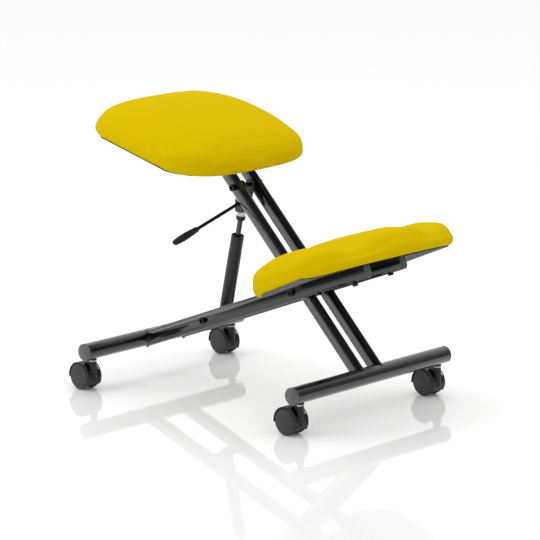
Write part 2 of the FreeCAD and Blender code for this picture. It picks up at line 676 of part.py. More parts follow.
def lever_grip():
    """Moulded paddle on the lever's outer end, fatter towards its round tip."""
    neck, belly, tip = GRIP_NECK_OD / 2, GRIP_BELLY_OD / 2, GRIP_END_OD / 2
    start, end = GRIP_START, GRIP_START + GRIP_LENGTH
    third = GRIP_LENGTH * 0.6
    profile = [(0, start), (neck - 1.5, start), (neck, start + 2.0), (belly, start + third),
               (tip, end - tip * 0.7), (0, end)]
    arcs = {2: ((neck + belly) / 2 + 0.5, start + third / 2),
            3: ((belly + tip) / 2 + 0.6, (start + third + end - tip) / 2),
            4: (tip * 0.66, end - tip * 0.16)}
    grip = revolved(profile, arcs)
    squeeze = FreeCAD.Matrix()
    squeeze.scale(Vector(GRIP_FLATTEN, 1.0, 1.0))
    grip = grip.transformGeometry(squeeze)
    hole = rod(LEVER_ROD_OD, LEVER_OUTER - GRIP_START + 1.0, Vector(0, 0, GRIP_START - 1.0))
    return moved(grip.cut(hole), LEVER_PLACE)


# Castors

def castor_place(end, side):
    """Placement of a castor: origin on the floor under the stem, local Y towards the axle."""
    return Placement(stem_point(end, side), Rotation(Z_AXIS, CASTOR_SWIVEL[end + "_" + side]))


def castor_stem(end, side):
    """Steel stem with its bright seating ring and a chamfered tip."""
    top = TUBE_UNDERSIDE + STEM_IN_SOCKET
    radius = STEM_OD / 2
    profile = [(0, STEM_SEAT), (radius, STEM_SEAT), (radius, HUB_TOP), (STEM_RING_OD / 2, HUB_TOP),
               (STEM_RING_OD / 2, HUB_TOP + STEM_RING), (radius, HUB_TOP + STEM_RING),
               (radius, top - STEM_TIP_CHAMFER), (radius - STEM_TIP_CHAMFER, top), (0, top)]
    return moved(revolved(profile), castor_place(end, side))


def hood_sector(radius, width, angle_from, angle_to):
    """Sector of a disc about the axle, as wide as given; angles from the front (-Y) towards up."""
    sector = Part.makeCylinder(radius, width, Vector(), Z_AXIS, angle_to - angle_from)
    sector.rotate(Vector(), Z_AXIS, angle_from)
    # the sector's own X, Y and Z become -Y, +Z and -X
    turn = FreeCAD.Matrix(0, 0, -1, width / 2, -1, 0, 0, CASTOR_TRAIL, 0, 1, 0, AXLE_Z, 0, 0, 0, 1)
    return moved(sector, Placement(turn))


def castor_hood(end, side):
    """Hood over both wheels, with a thin web, an axle boss, and the stem's hub in a recess at the front."""
    axle = Vector(0, CASTOR_TRAIL, AXLE_Z)
    half_gap = WHEEL_GAP / 2 - SIDE_PLAY
    shell = hood_sector(HOOD_OUTER_R, HOOD_WIDTH, HOOD_FRONT_ANGLE, HOOD_REAR_ANGLE)
    shell = shell.cut(cross_bar(2 * HOOD_INNER_R, -HOOD_WIDTH, HOOD_WIDTH, axle))
    recess_floor = Vector(0, 0, HOOD_RECESS_FLOOR)
    recess = rod(HOOD_RECESS_OD, HUB_TOP, recess_floor)
    shell = shell.cut(recess)
    web = hood_sector(HOOD_INNER_R + HOOD_WALL / 2, HOOD_WEB, HOOD_FRONT_ANGLE, HOOD_REAR_ANGLE)
    cup = rod(HOOD_RECESS_OD + 2 * HOOD_WALL, HUB_TOP, recess_floor - Z_AXIS * HOOD_WALL).cut(recess)
    cup = cup.common(cross_bar(2 * HOOD_OUTER_R, -half_gap, half_gap, axle))
    hub_foot = AXLE_Z - CASTOR_TRAIL / 4
    hub = rod(HUB_OD, HUB_TOP - hub_foot, Vector(0, 0, hub_foot))
    boss = cross_bar(WHEEL_HUB_OD, -half_gap, half_gap, axle)
    hood = shell.fuse([web, cup, hub, boss]).removeSplitter()
    stem_bore = rod(STEM_OD, HUB_TOP, Vector(0, 0, STEM_SEAT))
    axle_bore = cross_bar(AXLE_OD, -HOOD_WIDTH, HOOD_WIDTH, axle)
    return moved(hood.cut([stem_bore, axle_bore]), castor_place(end, side))


def castor_axle(end, side):
    """Steel pin through the boss and both wheels' hubs."""
    half = WHEEL_GAP / 2 + WHEEL_WIDTH - AXLE_END_GAP
    return moved(cross_bar(AXLE_OD, -half, half, Vector(0, CASTOR_TRAIL, AXLE_Z)), castor_place(end, side))


def castor_wheel(end, side, face):
    """Wheel: chamfered tread on a rim, domed outer face, hub with a blind bore; face is -1 right, +1 left."""
    radius = WHEEL_OD / 2
    inner = WHEEL_GAP / 2
    outer = inner + WHEEL_WIDTH
    disc = WHEEL_FACE_OD / 2
    web_inner = outer - WHEEL_WEB
    rim = radius - WHEEL_RIM_WALL
    hub = WHEEL_HUB_OD / 2
    bore = AXLE_OD / 2 + RUNNING_CLEARANCE
    bore_end = outer - AXLE_END_GAP + SIDE_PLAY
    shoulder = radius - WHEEL_SHOULDER
    profile = [(bore, inner), (hub, inner), (hub, web_inner), (rim, web_inner), (rim, inner),
               (shoulder, inner), (radius, inner + WHEEL_SHOULDER),
               (radius, outer - WHEEL_SHOULDER), (shoulder, outer), (disc, outer),
               (0, outer + WHEEL_FACE_DOME), (0, bore_end), (bore, bore_end)]
    wheel = revolved(profile, {9: dome_middle(disc, outer, WHEEL_FACE_DOME)})
    place = Placement(Vector(0, CASTOR_TRAIL, AXLE_Z), Rotation(Z_AXIS, X_AXIS * face))
    return moved(moved(wheel, place), castor_place(end, side))


# Upholstery: each cushion is a loft along X through closed sections of lines and arcs

def superellipse(fraction, power):
    """Half depth of the outline, as a share, at a share of the half width."""
    return max(0.0, 1.0 - abs(fraction) ** power) ** (1.0 / power)


def smooth_bump(value):
    """1 at zero, falling smoothly to 0 at -1 and +1."""
    return 0.5 * (1 + math.cos(math.pi * value)) if abs(value) < 1 else 0.0


def smooth_step(value):
    """0 below zero, rising smoothly to 1 at one."""
    share = min(1.0, max(0.0, value))
    return share * share * (3 - 2 * share)


def level_arc_middle(flat, rim):
    """Middle of the arc that leaves a flat underside level and ends at the rim's widest point."""
    chord = rim - flat
    lean = math.atan2(chord.z, abs(chord.y))
    outward = Vector(0, math.copysign(math.sin(lean), chord.y), -math.cos(lean))
    return flat + chord * 0.5 + outward * (chord.Length / 2 * math.tan(lean / 2))


def cushion_section(x, half, rear_pull, front_base, rear_base, height):
    """Closed wire across the cushion at x; height(y) gives the top and half is the half depth."""
    inset = CUSHION_EDGE_INSET * min(1.0, half / CUSHION_FULL_HALF)
    front, rear = -half, half - rear_pull
    shoulder = 0.80

    def span(share):
        """y at a share of the section, -1 at the front and +1 at the rear."""
        return (front + rear) / 2 + share * (rear - front) / 2

    def at(y, z):
        return Vector(x, y, z)

    rim_top_front, rim_top_rear = 0.55 * height(span(-0.97)), 0.55 * height(span(0.97))
    widest_front = at(front, front_base + (rim_top_front - front_base) * 0.52)
    widest_rear = at(rear, rear_base + (rim_top_rear - rear_base) * 0.52)
    a, b = at(front + inset, front_base), at(rear - inset, rear_base)
    c, d = at(span(0.975), rim_top_rear), at(span(shoulder), height(span(shoulder)))
    e, f = at(span(-shoulder), height(span(-shoulder))), at(span(-0.975), rim_top_front)
    rear_mid = at(span(0.915), 0.5 * (rim_top_rear + height(span(shoulder))) + 0.06 * height(0))
    front_mid = at(span(-0.915), 0.5 * (rim_top_front + height(span(-shoulder))) + 0.06 * height(0))
    edges = [
        Part.LineSegment(a, b).toShape(),
        Part.Arc(b, level_arc_middle(b, widest_rear), widest_rear).toShape(),
        Part.Arc(widest_rear, at(rear - 0.28 * (rear - c.y), 0.5 * (widest_rear.z + c.z)), c).toShape(),
        Part.Arc(c, rear_mid, d).toShape(),
        Part.Arc(d, at(span(0.0), height(span(0.0))), e).toShape(),
        Part.Arc(e, front_mid, f).toShape(),
        Part.Arc(f, at(front - 0.28 * (front - f.y), 0.5 * (widest_front.z + f.z)), widest_front).toShape(),
        Part.Arc(widest_front, level_arc_middle(a, widest_front), a).toShape(),
    ]
    return Part.Wire(edges)


def end_lift(share):
    """0 over most of the cushion's width, rising to 1 at its side edges."""
    return smooth_step((abs(share) - 0.9) / 0.1)


def seat_section(share):
    """Section of the seat cushion at a share of its half width."""
    half = SEAT_HALF_DEPTH * superellipse(share, SEAT_CORNER)
    ends = end_lift(share)

    def height(y):
        radial = (abs(share) ** SEAT_CORNER + abs(y / SEAT_HALF_DEPTH) ** SEAT_CORNER) ** (1 / SEAT_CORNER)
        top = SEAT_RIM + SEAT_CROWN * (1 - min(1.0, radial) ** SEAT_CROWN_POWER)
        return top - ends * SEAT_RIM * 0.25

    base = ends * SEAT_RIM * 0.35
    return cushion_section(share * SEAT_HALF_WIDTH, half, 0.0, base, base, height)


def pad_bay(x):
    """How far the knee pad's rear edge is drawn in at x, to clear the posts."""
    return PAD_BAY_DEPTH * (1 - smooth_step((abs(x) - PAD_BAY_FLAT) / PAD_BAY_BLEND))


def pad_section(share):
    """Section of the knee pad at a share of its half width, with its hollows, ridge and rear bay."""
    x = share * PAD_HALF_WIDTH
    half = PAD_HALF_DEPTH * superellipse(share, PAD_CORNER)
    ends = end_lift(share)
    droop = PAD_DROOP * smooth_step((abs(x) - PAD_DROOP_START) / PAD_DROOP_START)
    hollow = PAD_HOLLOW * smooth_bump((abs(x) - PAD_HOLLOW_AT) / PAD_HOLLOW_HALF_WIDTH)

    def height(y):
        radial = (abs(share) ** PAD_CORNER + abs(y / PAD_HALF_DEPTH) ** PAD_CORNER) ** (1 / PAD_CORNER)
        top = PAD_RIM + PAD_CROWN * (1 - min(1.0, radial) ** PAD_CROWN_POWER)
        return top - hollow - ends * PAD_RIM * 0.25

    base = ends * PAD_RIM * 0.3
    return cushion_section(x, half, pad_bay(x), base, base - droop, height)


SEAT_STATIONS = (0.0, 0.3, 0.55, 0.75, 0.88, 0.955, 0.99)
PAD_STATIONS = (0.0, 0.12, 0.24, 0.37, 0.5, 0.62, 0.75, 0.87, 0.95, 0.99)


def lofted_cushion(section, stations):
    """Smooth loft through the sections at the stations and their mirror images."""
    shares = [-s for s in reversed(stations[1:])] + list(stations)
    return Part.makeLoft([section(s) for s in shares], True, False)


def rounded_board(width, depth, radius, centre_y):
    """Flat board with round corners, standing on the cushion's underside plane."""
    x, front, rear = width / 2, centre_y - depth / 2, centre_y + depth / 2
    inset = radius * (1 - math.sqrt(0.5))
    arcs = []
    for cx, cy, sx, sy in [(x, front, 1, 1), (x, rear, 1, -1), (-x, rear, -1, -1), (-x, front, -1, 1)]:
        near = Vector(cx - sx * radius, cy, 0)
        far = Vector(cx, cy + sy * radius, 0)
        start, end = (near, far) if sx == sy else (far, near)
        arcs.append((start, Vector(cx - sx * inset, cy + sy * inset, 0), end))
    edges = []
    for i, (start, middle, end) in enumerate(arcs):
        edges.append(Part.Arc(start, middle, end).toShape())
        edges.append(Part.LineSegment(end, arcs[(i + 1) % 4][0]).toShape())
    return Part.Face(Part.Wire(edges)).extrude(Z_AXIS * BOARD_THICK)


def seat_board_blank():
    """Seat board before drilling."""
    width = 2 * (SEAT_HALF_WIDTH - SEAT_BOARD_INSET)
    depth = 2 * (SEAT_HALF_DEPTH - SEAT_BOARD_INSET)
    return rounded_board(width, depth, SEAT_BOARD_RADIUS, 0.0)


def pad_board_blank():
    """Knee board before drilling; its rear edge keeps clear of the pad's bay."""
    width = 2 * (PAD_HALF_WIDTH - PAD_BOARD_INSET)
    front = -(PAD_HALF_DEPTH - PAD_BOARD_INSET)
    rear = PAD_HALF_DEPTH - PAD_BAY_DEPTH - PAD_BOARD_INSET
    return rounded_board(width, rear - front, PAD_BOARD_RADIUS, (front + rear) / 2)


def cleared(body, blank):
    """Cushion body with the board's room open to below."""
    lower = moved(blank, Placement(Vector(0, 0, 1.0 - BOARD_THICK), Rotation()))
    return body.cut(blank.fuse(lower).removeSplitter())


def pad_screw_stations():
    """Distances of the knee pad's screws along a knee tube."""
    return (PAD_SCREW_CENTRE - PAD_SCREW_SPACING / 2, PAD_SCREW_CENTRE + PAD_SCREW_SPACING / 2)


def pad_screw_points():
    """Screw points of the knee pad, in its own frame on the underside plane."""
    rows = [PAD_CENTRE - along for along in pad_screw_stations()]
    return [Vector(s * KNEE_TUBE_X, y, 0) for s in SIDES.values() for y in rows]


def tee_nut(start):
    """Flanged nut pressed into a board from above."""
    barrel = rod(TEE_NUT_BARREL_OD, BOARD_THICK, start)
    flange = rod(TEE_NUT_OD, TEE_NUT_FLANGE, start + Z_AXIS * BOARD_THICK)
    thread = rod(M6_SHANK, 3 * BOARD_THICK, start - Z_AXIS * BOARD_THICK)
    return barrel.fuse(flange).removeSplitter().cut(thread)


def knee_board():
    """Plywood board of the knee pad, bored for its tee nuts."""
    holes = [rod(TEE_NUT_BARREL_OD, BOARD_THICK + 2.0, p - Z_AXIS) for p in pad_screw_points()]
    return moved(pad_board_blank().cut(holes), PAD_PLACE)


def nut_recess(points):
    """Room in a cushion for the tee nuts' flanges and the screws' tips."""
    depth = BOARD_THICK + TEE_NUT_FLANGE + M6_SHANK
    return [rod(TEE_NUT_OD + 2 * RECESS_CLEARANCE, depth, p) for p in points]


def knee_cushion():
    """Knee pad's foam in its cover, hollowed for its board."""
    body = cleared(lofted_cushion(pad_section, PAD_STATIONS), pad_board_blank())
    return moved(body.cut(nut_recess(pad_screw_points())), PAD_PLACE)


def knee_bolts():
    """Screws from under the knee tubes into the board, each on its saddle."""
    seat = Z_AXIS * (-OVAL_DEPTH - SADDLE_FLOOR)
    return Part.makeCompound([moved(cushion_screw(p + seat), PAD_PLACE) for p in pad_screw_points()])


def knee_saddles():
    """Saddle washers that fit the round underside of the knee tubes."""
    saddles = []
    for p in pad_screw_points():
        across = Placement(p + Vector(0, SADDLE_OD, -OVAL_DEPTH / 2), Rotation(X_AXIS, 90))
        tube = moved(oval_prism(OVAL_WIDTH, OVAL_DEPTH, 2 * SADDLE_OD), across)
        base = p + Z_AXIS * (-OVAL_DEPTH - SADDLE_FLOOR)
        saddle = ring(SADDLE_OD, M6_SHANK, SADDLE_FLOOR + SADDLE_WRAP, base).cut(tube)
        saddles.append(moved(saddle, PAD_PLACE))
    return Part.makeCompound(saddles)


def knee_tee_nuts():
    """Tee nuts of the knee pad's board."""
    return Part.makeCompound([moved(tee_nut(p), PAD_PLACE) for p in pad_screw_points()])


def seat_screw_points():
    """Screw points of the seat plate, in the seat's frame on the board's underside."""
    half_x = SEAT_PLATE_WIDTH / 2 - SEAT_SCREW_INSET - SEAT_PLATE_THICK
    front = SEAT_PLATE_FRONT + SEAT_SCREW_INSET
    rear = SEAT_PLATE_FRONT + SEAT_PLATE_LENGTH - SEAT_SCREW_INSET
    return [Vector(s * half_x, y, 0) for s in SIDES.values() for y in (front, rear)]


def seat_plate():
    """Pressed steel plate on the posts, with a turned-down flange along each side."""
    middle = SEAT_PLATE_FRONT + SEAT_PLATE_LENGTH / 2
    thick = SEAT_PLATE_THICK
    reach = SEAT_PLATE_WIDTH / 2 - thick / 2
    plate = block(SEAT_PLATE_WIDTH, SEAT_PLATE_LENGTH, thick, 0.0, middle, -thick)
    flanges = [block(thick, SEAT_PLATE_LENGTH, SEAT_PLATE_FLANGE, s * reach, middle, -SEAT_PLATE_FLANGE)
               for s in SIDES.values()]
    below = Z_AXIS * -(thick + 1.0)
    holes = [rod(M6_SHANK, thick + 2.0, p + below) for p in seat_screw_points()]
    return moved(plate.fuse(flanges).removeSplitter().cut(holes), SEAT_PLACE)


def seat_board():
    """Plywood board of the seat, bored for its screws."""
    holes = [rod(TEE_NUT_BARREL_OD, BOARD_THICK + 2.0, p - Z_AXIS) for p in seat_screw_points()]
    return moved(seat_board_blank().cut(holes), SEAT_PLACE)


def seat_cushion():
    """Seat's foam in its cover, hollowed for its board."""
    body = cleared(lofted_cushion(seat_section, SEAT_STATIONS), seat_board_blank())
    return moved(body.cut(nut_recess(seat_screw_points())), SEAT_PLACE)


def seat_screws():
    """Screws from under the seat plate into the board's tee nuts."""
    seat = Z_AXIS * -SEAT_PLATE_THICK
    return Part.makeCompound([moved(cushion_screw(p + seat), SEAT_PLACE) for p in seat_screw_points()])


def seat_tee_nuts():
    """Tee nuts of the seat's board."""
    return Part.makeCompound([moved(tee_nut(p), SEAT_PLACE) for p in seat_screw_points()])


def build_nodes():
    """Every sub-part by the name of its node."""
    nodes = {}
    for end in ENDS:
        nodes[end + "_cross_tube"] = cross_tube(end)
        nodes[end + "_tube_caps"] = cross_tube_caps(end)
        nodes[end + "_castor_sockets"] = castor_sockets(end)
    for side in SIDES:
        nodes["knee_tube_" + side] = knee_tube(side)
        nodes["seat_post_" + side] = seat_post(side)
    nodes["knee_tube_caps"] = knee_tube_caps()
    nodes["pivot_bolt"] = pivot_bolt()
    nodes["pivot_nut"] = far_nut(KNEE_OUTER_X, PIVOT)
    nodes["pivot_bushes"] = pivot_bushes()
    nodes["pivot_spacers"] = pivot_spacers()
    nodes["gas_foot_bolt"] = gas_foot_bolt()
    nodes["gas_foot_nut"] = far_nut(KNEE_OUTER_X, GAS_FOOT)
    nodes["gas_foot_spacers"] = gas_foot_spacers()
    nodes["gas_head_bolt"] = gas_head_bolt()
    nodes["gas_head_nut"] = far_nut(POST_OUTER_X, GAS_HEAD)
    nodes["gas_head_spacers"] = gas_head_spacers()
    nodes["gas_cylinder"] = gas_cylinder()
    nodes["gas_guide"] = gas_guide()
    nodes["piston_rod"] = piston_rod()
    nodes["jam_nut"] = jam_nut()
    nodes["nylon_rings"] = nylon_rings()
    nodes["rod_bracket"] = rod_bracket()
    nodes["release_pin"] = release_pin()
    nodes["lever_rod"] = lever_rod()
    nodes["lever_grip"] = lever_grip()
    nodes["knee_board"] = knee_board()
    nodes["knee_cushion"] = knee_cushion()
    nodes["knee_bolts"] = knee_bolts()
    nodes["knee_saddles"] = knee_saddles()
    nodes["knee_tee_nuts"] = knee_tee_nuts()
    nodes["seat_plate"] = seat_plate()
    nodes["seat_board"] = seat_board()
    nodes["seat_cushion"] = seat_cushion()
    nodes["seat_screws"] = seat_screws()
    nodes["seat_tee_nuts"] = seat_tee_nuts()
    for end in ENDS:
        for side in SIDES:
            name = end + "_" + side
            nodes["castor_stem_" + name] = castor_stem(end, side)
            nodes["castor_hood_" + name] = castor_hood(end, side)
            nodes["castor_axle_" + name] = castor_axle(end, side)
            nodes["wheel_" + name + "_outer"] = castor_wheel(end, side, SIDES[side])
            nodes["wheel_" + name + "_inner"] = castor_wheel(end, side, -SIDES[side])
    return nodes


def centre_shift(nodes):
    """Shift along Y that puts the origin midway between the chair's front and rear extremes."""
    boxes = [shape.optimalBoundingBox(False) for shape in nodes.values()]
    return -(min(b.YMin for b in boxes) + max(b.YMax for b in boxes)) / 2


NODES = build_nodes()
SHIFT = Vector(0, centre_shift(NODES), 0)

os.makedirs("parts", exist_ok=True)
for node_name, node_shape in NODES.items():
    final = moved(node_shape, Placement(SHIFT, Rotation()))
    NODES[node_name] = final
    final.exportStep("parts/" + node_name + ".step")
print("shift along Y: %.3f mm, %d nodes" % (SHIFT.y, len(NODES)))
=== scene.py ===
"""Looks of the kneeling chair: finishes for its CAD nodes, upholstery, weld beads and a plain studio."""

import json
import logging
import math
from dataclasses import dataclass
from enum import Enum
from typing import Sequence

import bmesh
import bpy
import numpy as np
from mathutils import Matrix, Vector

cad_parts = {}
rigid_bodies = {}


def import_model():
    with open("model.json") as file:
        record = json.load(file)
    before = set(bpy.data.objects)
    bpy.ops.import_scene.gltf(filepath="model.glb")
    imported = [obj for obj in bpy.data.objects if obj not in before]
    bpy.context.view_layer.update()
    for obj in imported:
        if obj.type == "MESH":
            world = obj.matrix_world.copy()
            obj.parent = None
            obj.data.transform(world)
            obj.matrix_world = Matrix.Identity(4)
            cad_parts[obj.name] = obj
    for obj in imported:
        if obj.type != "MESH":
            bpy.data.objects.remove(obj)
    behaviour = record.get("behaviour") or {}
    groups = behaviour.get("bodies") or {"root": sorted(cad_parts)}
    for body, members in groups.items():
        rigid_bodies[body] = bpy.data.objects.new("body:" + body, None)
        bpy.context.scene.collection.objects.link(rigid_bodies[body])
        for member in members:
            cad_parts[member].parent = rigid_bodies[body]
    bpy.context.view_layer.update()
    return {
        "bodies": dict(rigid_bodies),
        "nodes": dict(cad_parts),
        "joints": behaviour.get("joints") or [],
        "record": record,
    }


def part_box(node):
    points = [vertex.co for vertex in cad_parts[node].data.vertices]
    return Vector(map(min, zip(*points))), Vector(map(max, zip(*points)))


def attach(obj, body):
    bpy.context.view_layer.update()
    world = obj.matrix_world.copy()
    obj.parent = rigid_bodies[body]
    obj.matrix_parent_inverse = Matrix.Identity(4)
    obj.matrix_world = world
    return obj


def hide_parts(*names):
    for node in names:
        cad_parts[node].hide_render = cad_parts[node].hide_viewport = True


LOG = logging.getLogger("kneeling_chair")
MM = 0.001
# A band texture of scale 1 repeats every 1 / 3.2 of a unit.
BAND_REPEAT = 3.2
# Noise seldom leaves this range, so the two colours of a finish are reached at its ends.
BLEND_FROM = 0.3
BLEND_TO = 0.7


def srgb(code: str) -> tuple[float, float, float, float]:
    """Turns an sRGB hex colour into linear RGBA.

    Args:
        code: Six hex digits.

    Returns:
        The linear colour with alpha 1.
    """
    parts = [int(code[i:i + 2], 16) / 255 for i in (0, 2, 4)]
    linear = [p / 12.92 if p <= 0.04045 else ((p + 0.055) / 1.055) ** 2.4 for p in parts]
    return (linear[0], linear[1], linear[2], 1.0)


class Side(Enum):
    """The chair's two sides, each with the sign of its place along X."""

    RIGHT = -1
    LEFT = 1

    @property
    def label(self) -> str:
        """The side's name as pieces carry it."""
        return self.name.lower()


class NodeGraph:
    """A node tree, with one helper that adds a node with its settings and links."""

    def __init__(self, tree: bpy.types.NodeTree) -> None:
        """Empties the tree.

        Args:
            tree: The tree of a material or of the world.
        """
        self.tree = tree
        self.tree.nodes.clear()

    def add(self, kind: str, settings: dict[str, object] | None = None, **inputs: object) -> bpy.types.Node:
        """Adds a node, sets its properties, and sets or links its inputs.

        Args:
            kind: The node's type name.
            settings: Property values of the node.
            **inputs: Socket names with _ for a space, or i and a number, each with a value or an
                output socket.

        Returns:
            The new node.
        """
        node = self.tree.nodes.new(kind)
        for key, value in (settings or {}).items():
            setattr(node, key, value)
        for key, value in inputs.items():
            name = key.replace("_", " ")
            numbered = name[0] == "i" and name[1:].isdigit()
            socket = node.inputs[int(name[1:])] if numbered else node.inputs[name]
            if isinstance(value, bpy.types.NodeSocket):
                self.tree.links.new(value, socket)
            else:
                socket.default_value = value
        return node


@dataclass(frozen=True)
class Finish:
    """What all finishes share: a name and two close colours that drift into each other."""

    name: str
    dark: str
    light: str

    def build(self) -> bpy.types.Material:
        """Makes the material.

        Returns:
            The material.
        """
        material = bpy.data.materials.new(self.name)
        material.use_nodes = True
        graph = NodeGraph(material.node_tree)
        place = graph.add("ShaderNodeTexCoord").outputs["Object"]
        shader = self.surface(graph, place)
        graph.add("ShaderNodeOutputMaterial", Surface=shader.outputs["BSDF"])
        return material

    def surface(self, graph: NodeGraph, place: bpy.types.NodeSocket) -> bpy.types.Node:
        """Adds the finish's own nodes.

        Args:
            graph: The material's nodes.
            place: Position on the object, in metres.

        Returns:
            The shader node.
        """
        raise NotImplementedError

    def colour(self, graph: NodeGraph, source: bpy.types.NodeSocket) -> bpy.types.NodeSocket:
        """Blends the two colours.

        Args:
            graph: The material's nodes.
            source: A value from 0 to 1 that says how light.

        Returns:
            The colour.
        """
        share = graph.add("ShaderNodeMapRange", Value=source, From_Min=BLEND_FROM, From_Max=BLEND_TO)
        blend = graph.add("ShaderNodeMix", {"data_type": "RGBA"}, i0=share.outputs["Result"],
                          i6=srgb(self.dark), i7=srgb(self.light))
        return blend.outputs[2]


@dataclass(frozen=True)
class HardFinish(Finish):
    """A metal, paint or moulded plastic with a fine relief and slight variation.

    The two colours give the eye a surface that isn't flat; the grain breaks up the highlight's edge.
    """

    rough_low: float
    rough_high: float
    grain_mm: float
    bump_mm: float
    metallic: float = 0.0
    coat: float = 0.0
    coat_rough: float = 0.1
    patch_mm: float = 18.0

    def surface(self, graph: NodeGraph, place: bpy.types.NodeSocket) -> bpy.types.Node:
        """Adds patches for colour and roughness, and a fine grain as relief.

        Args:
            graph: The material's nodes.
            place: Position on the object, in metres.

        Returns:
            The shader node.
        """
        patches = graph.add("ShaderNodeTexNoise", Vector=place, Scale=1 / (self.patch_mm * MM), Detail=3.0)
        grain = graph.add("ShaderNodeTexNoise", Vector=place, Scale=1 / (self.grain_mm * MM), Detail=2.0)
        bump = graph.add("ShaderNodeBump", Strength=1.0, Distance=self.bump_mm * MM,
                         Height=grain.outputs["Fac"])
        rough = graph.add("ShaderNodeMapRange", Value=patches.outputs["Fac"],
                          To_Min=self.rough_low, To_Max=self.rough_high)
        return graph.add(
            "ShaderNodeBsdfPrincipled",
            Base_Color=self.colour(graph, patches.outputs["Fac"]),
            Roughness=rough.outputs["Result"],
            Metallic=self.metallic,
            Coat_Weight=self.coat,
            Coat_Roughness=self.coat_rough,
            Normal=bump.outputs["Normal"],
        )


@dataclass(frozen=True)
class ClothFinish(Finish):
    """A woven or felted cloth: two crossing yarn waves under a fine fuzz."""

    yarn_mm: float
    bump_mm: float
    fuzz_mm: float = 0.5
    mottle_mm: float = 2.2
    rough: float = 0.92
    gloss: float = 0.02

    def surface(self, graph: NodeGraph, place: bpy.types.NodeSocket) -> bpy.types.Node:
        """Adds the weave and the fuzz as relief, and a mottle as colour.

        Args:
            graph: The material's nodes.
            place: Position on the object, in metres.

        Returns:
            The shader node.
        """
        waves = []
        for direction in ("X", "Y"):
            wave = graph.add(
                "ShaderNodeTexWave", {"bands_direction": direction}, Vector=place,
                Scale=1 / (self.yarn_mm * MM * BAND_REPEAT), Distortion=2.0, Detail=2.0, Detail_Scale=3.0,
            )
            waves.append(wave.outputs["Fac"])
        weave = graph.add("ShaderNodeMath", {"operation": "MULTIPLY"}, i0=waves[0], i1=waves[1])
        fuzz = graph.add("ShaderNodeTexNoise", Vector=place, Scale=1 / (self.fuzz_mm * MM), Detail=3.0)
        height = graph.add("ShaderNodeMath", {"operation": "ADD"},
                           i0=weave.outputs[0], i1=fuzz.outputs["Fac"])
        bump = graph.add("ShaderNodeBump", Strength=1.0, Distance=self.bump_mm * MM, Height=height.outputs[0])
        mottle = graph.add("ShaderNodeTexNoise", Vector=place, Scale=1 / (self.mottle_mm * MM), Detail=4.0)
        shade = graph.add("ShaderNodeMapRange", Value=mottle.outputs["Fac"], To_Min=0.0, To_Max=0.9)
        return graph.add(
            "ShaderNodeBsdfPrincipled",
            Base_Color=self.colour(graph, shade.outputs["Result"]),
            Roughness=self.rough,
            Specular_IOR_Level=self.gloss,
            Normal=bump.outputs["Normal"],
        )


@dataclass(frozen=True)
class PlywoodFinish(Finish):
    """Bare birch plywood: pale boards with long soft grain."""

    grain_mm: float = 5.2

    def surface(self, graph: NodeGraph, place: bpy.types.NodeSocket) -> bpy.types.Node:
        """Adds the grain as colour and roughness.

        Args:
            graph: The material's nodes.
            place: Position on the object, in metres.

        Returns:
            The shader node.
        """
        grain = graph.add(
            "ShaderNodeTexWave", {"bands_direction": "Y"}, Vector=place,
            Scale=1 / (self.grain_mm * MM * BAND_REPEAT), Distortion=6.0, Detail=3.0, Detail_Scale=0.6,
        )
        rough = graph.add("ShaderNodeMapRange", Value=grain.outputs["Fac"], To_Min=0.6, To_Max=0.75)
        return graph.add("ShaderNodeBsdfPrincipled", Base_Color=self.colour(graph, grain.outputs["Fac"]),
                         Roughness=rough.outputs["Result"])


@dataclass(frozen=True)
class FloorFinish(Finish):
    """White lacquered studio floor, polished enough to mirror the castors."""

    rough: float = 0.04
    drift_mm: float = 400.0

    def surface(self, graph: NodeGraph, place: bpy.types.NodeSocket) -> bpy.types.Node:
        """Adds a slow drift of the white.

        Args:
            graph: The material's nodes.
            place: Position on the object, in metres.

        Returns:
            The shader node.
        """
        drift = graph.add("ShaderNodeTexNoise", Vector=place, Scale=1 / (self.drift_mm * MM), Detail=2.0)
        return graph.add("ShaderNodeBsdfPrincipled", Base_Color=self.colour(graph, drift.outputs["Fac"]),
                         Roughness=self.rough)


# Gloss black powder coat on steel: near-black under a clear layer, which gives the tubes their broad
# soft-edged reflections and a faint orange-peel skin.
POWDER_COAT = HardFinish("gloss_black_powder_coat", "040404", "080808", 0.2, 0.26, 0.9, 0.004,
                         coat=1.0, coat_rough=0.08)
# Matte grey moulded polypropylene: the end caps read as lighter discs than the tubes they close.
CAP_PLASTIC = HardFinish("dark_grey_moulded_caps", "505052", "5E5E60", 0.38, 0.48, 0.5, 0.01)
# Yellow wool-mix upholstery, woven and brushed: dull, with a fine mottle and no shine. Its yarns are
# about 0.9 mm apart, drawn at that size.
UPHOLSTERY = ClothFinish("yellow_brushed_upholstery", "CBAE00", "D3B700", 0.9, 0.12)
# Grey non-woven polypropylene dust cloth, stapled under both boards: flat and dull, slightly lilac; its grey
# is set darker than the lit cloth as painted shade under the boards.
DUST_CLOTH = ClothFinish("dust_cloth_grey_with_painted_shade", "68666C", "7A787F", 0.6, 0.06)
# White lacquered floor: it keeps a soft contact shadow and a faint mirror image.
FLOOR = FloorFinish("white_studio_floor", "FEFEFE", "FFFFFF")

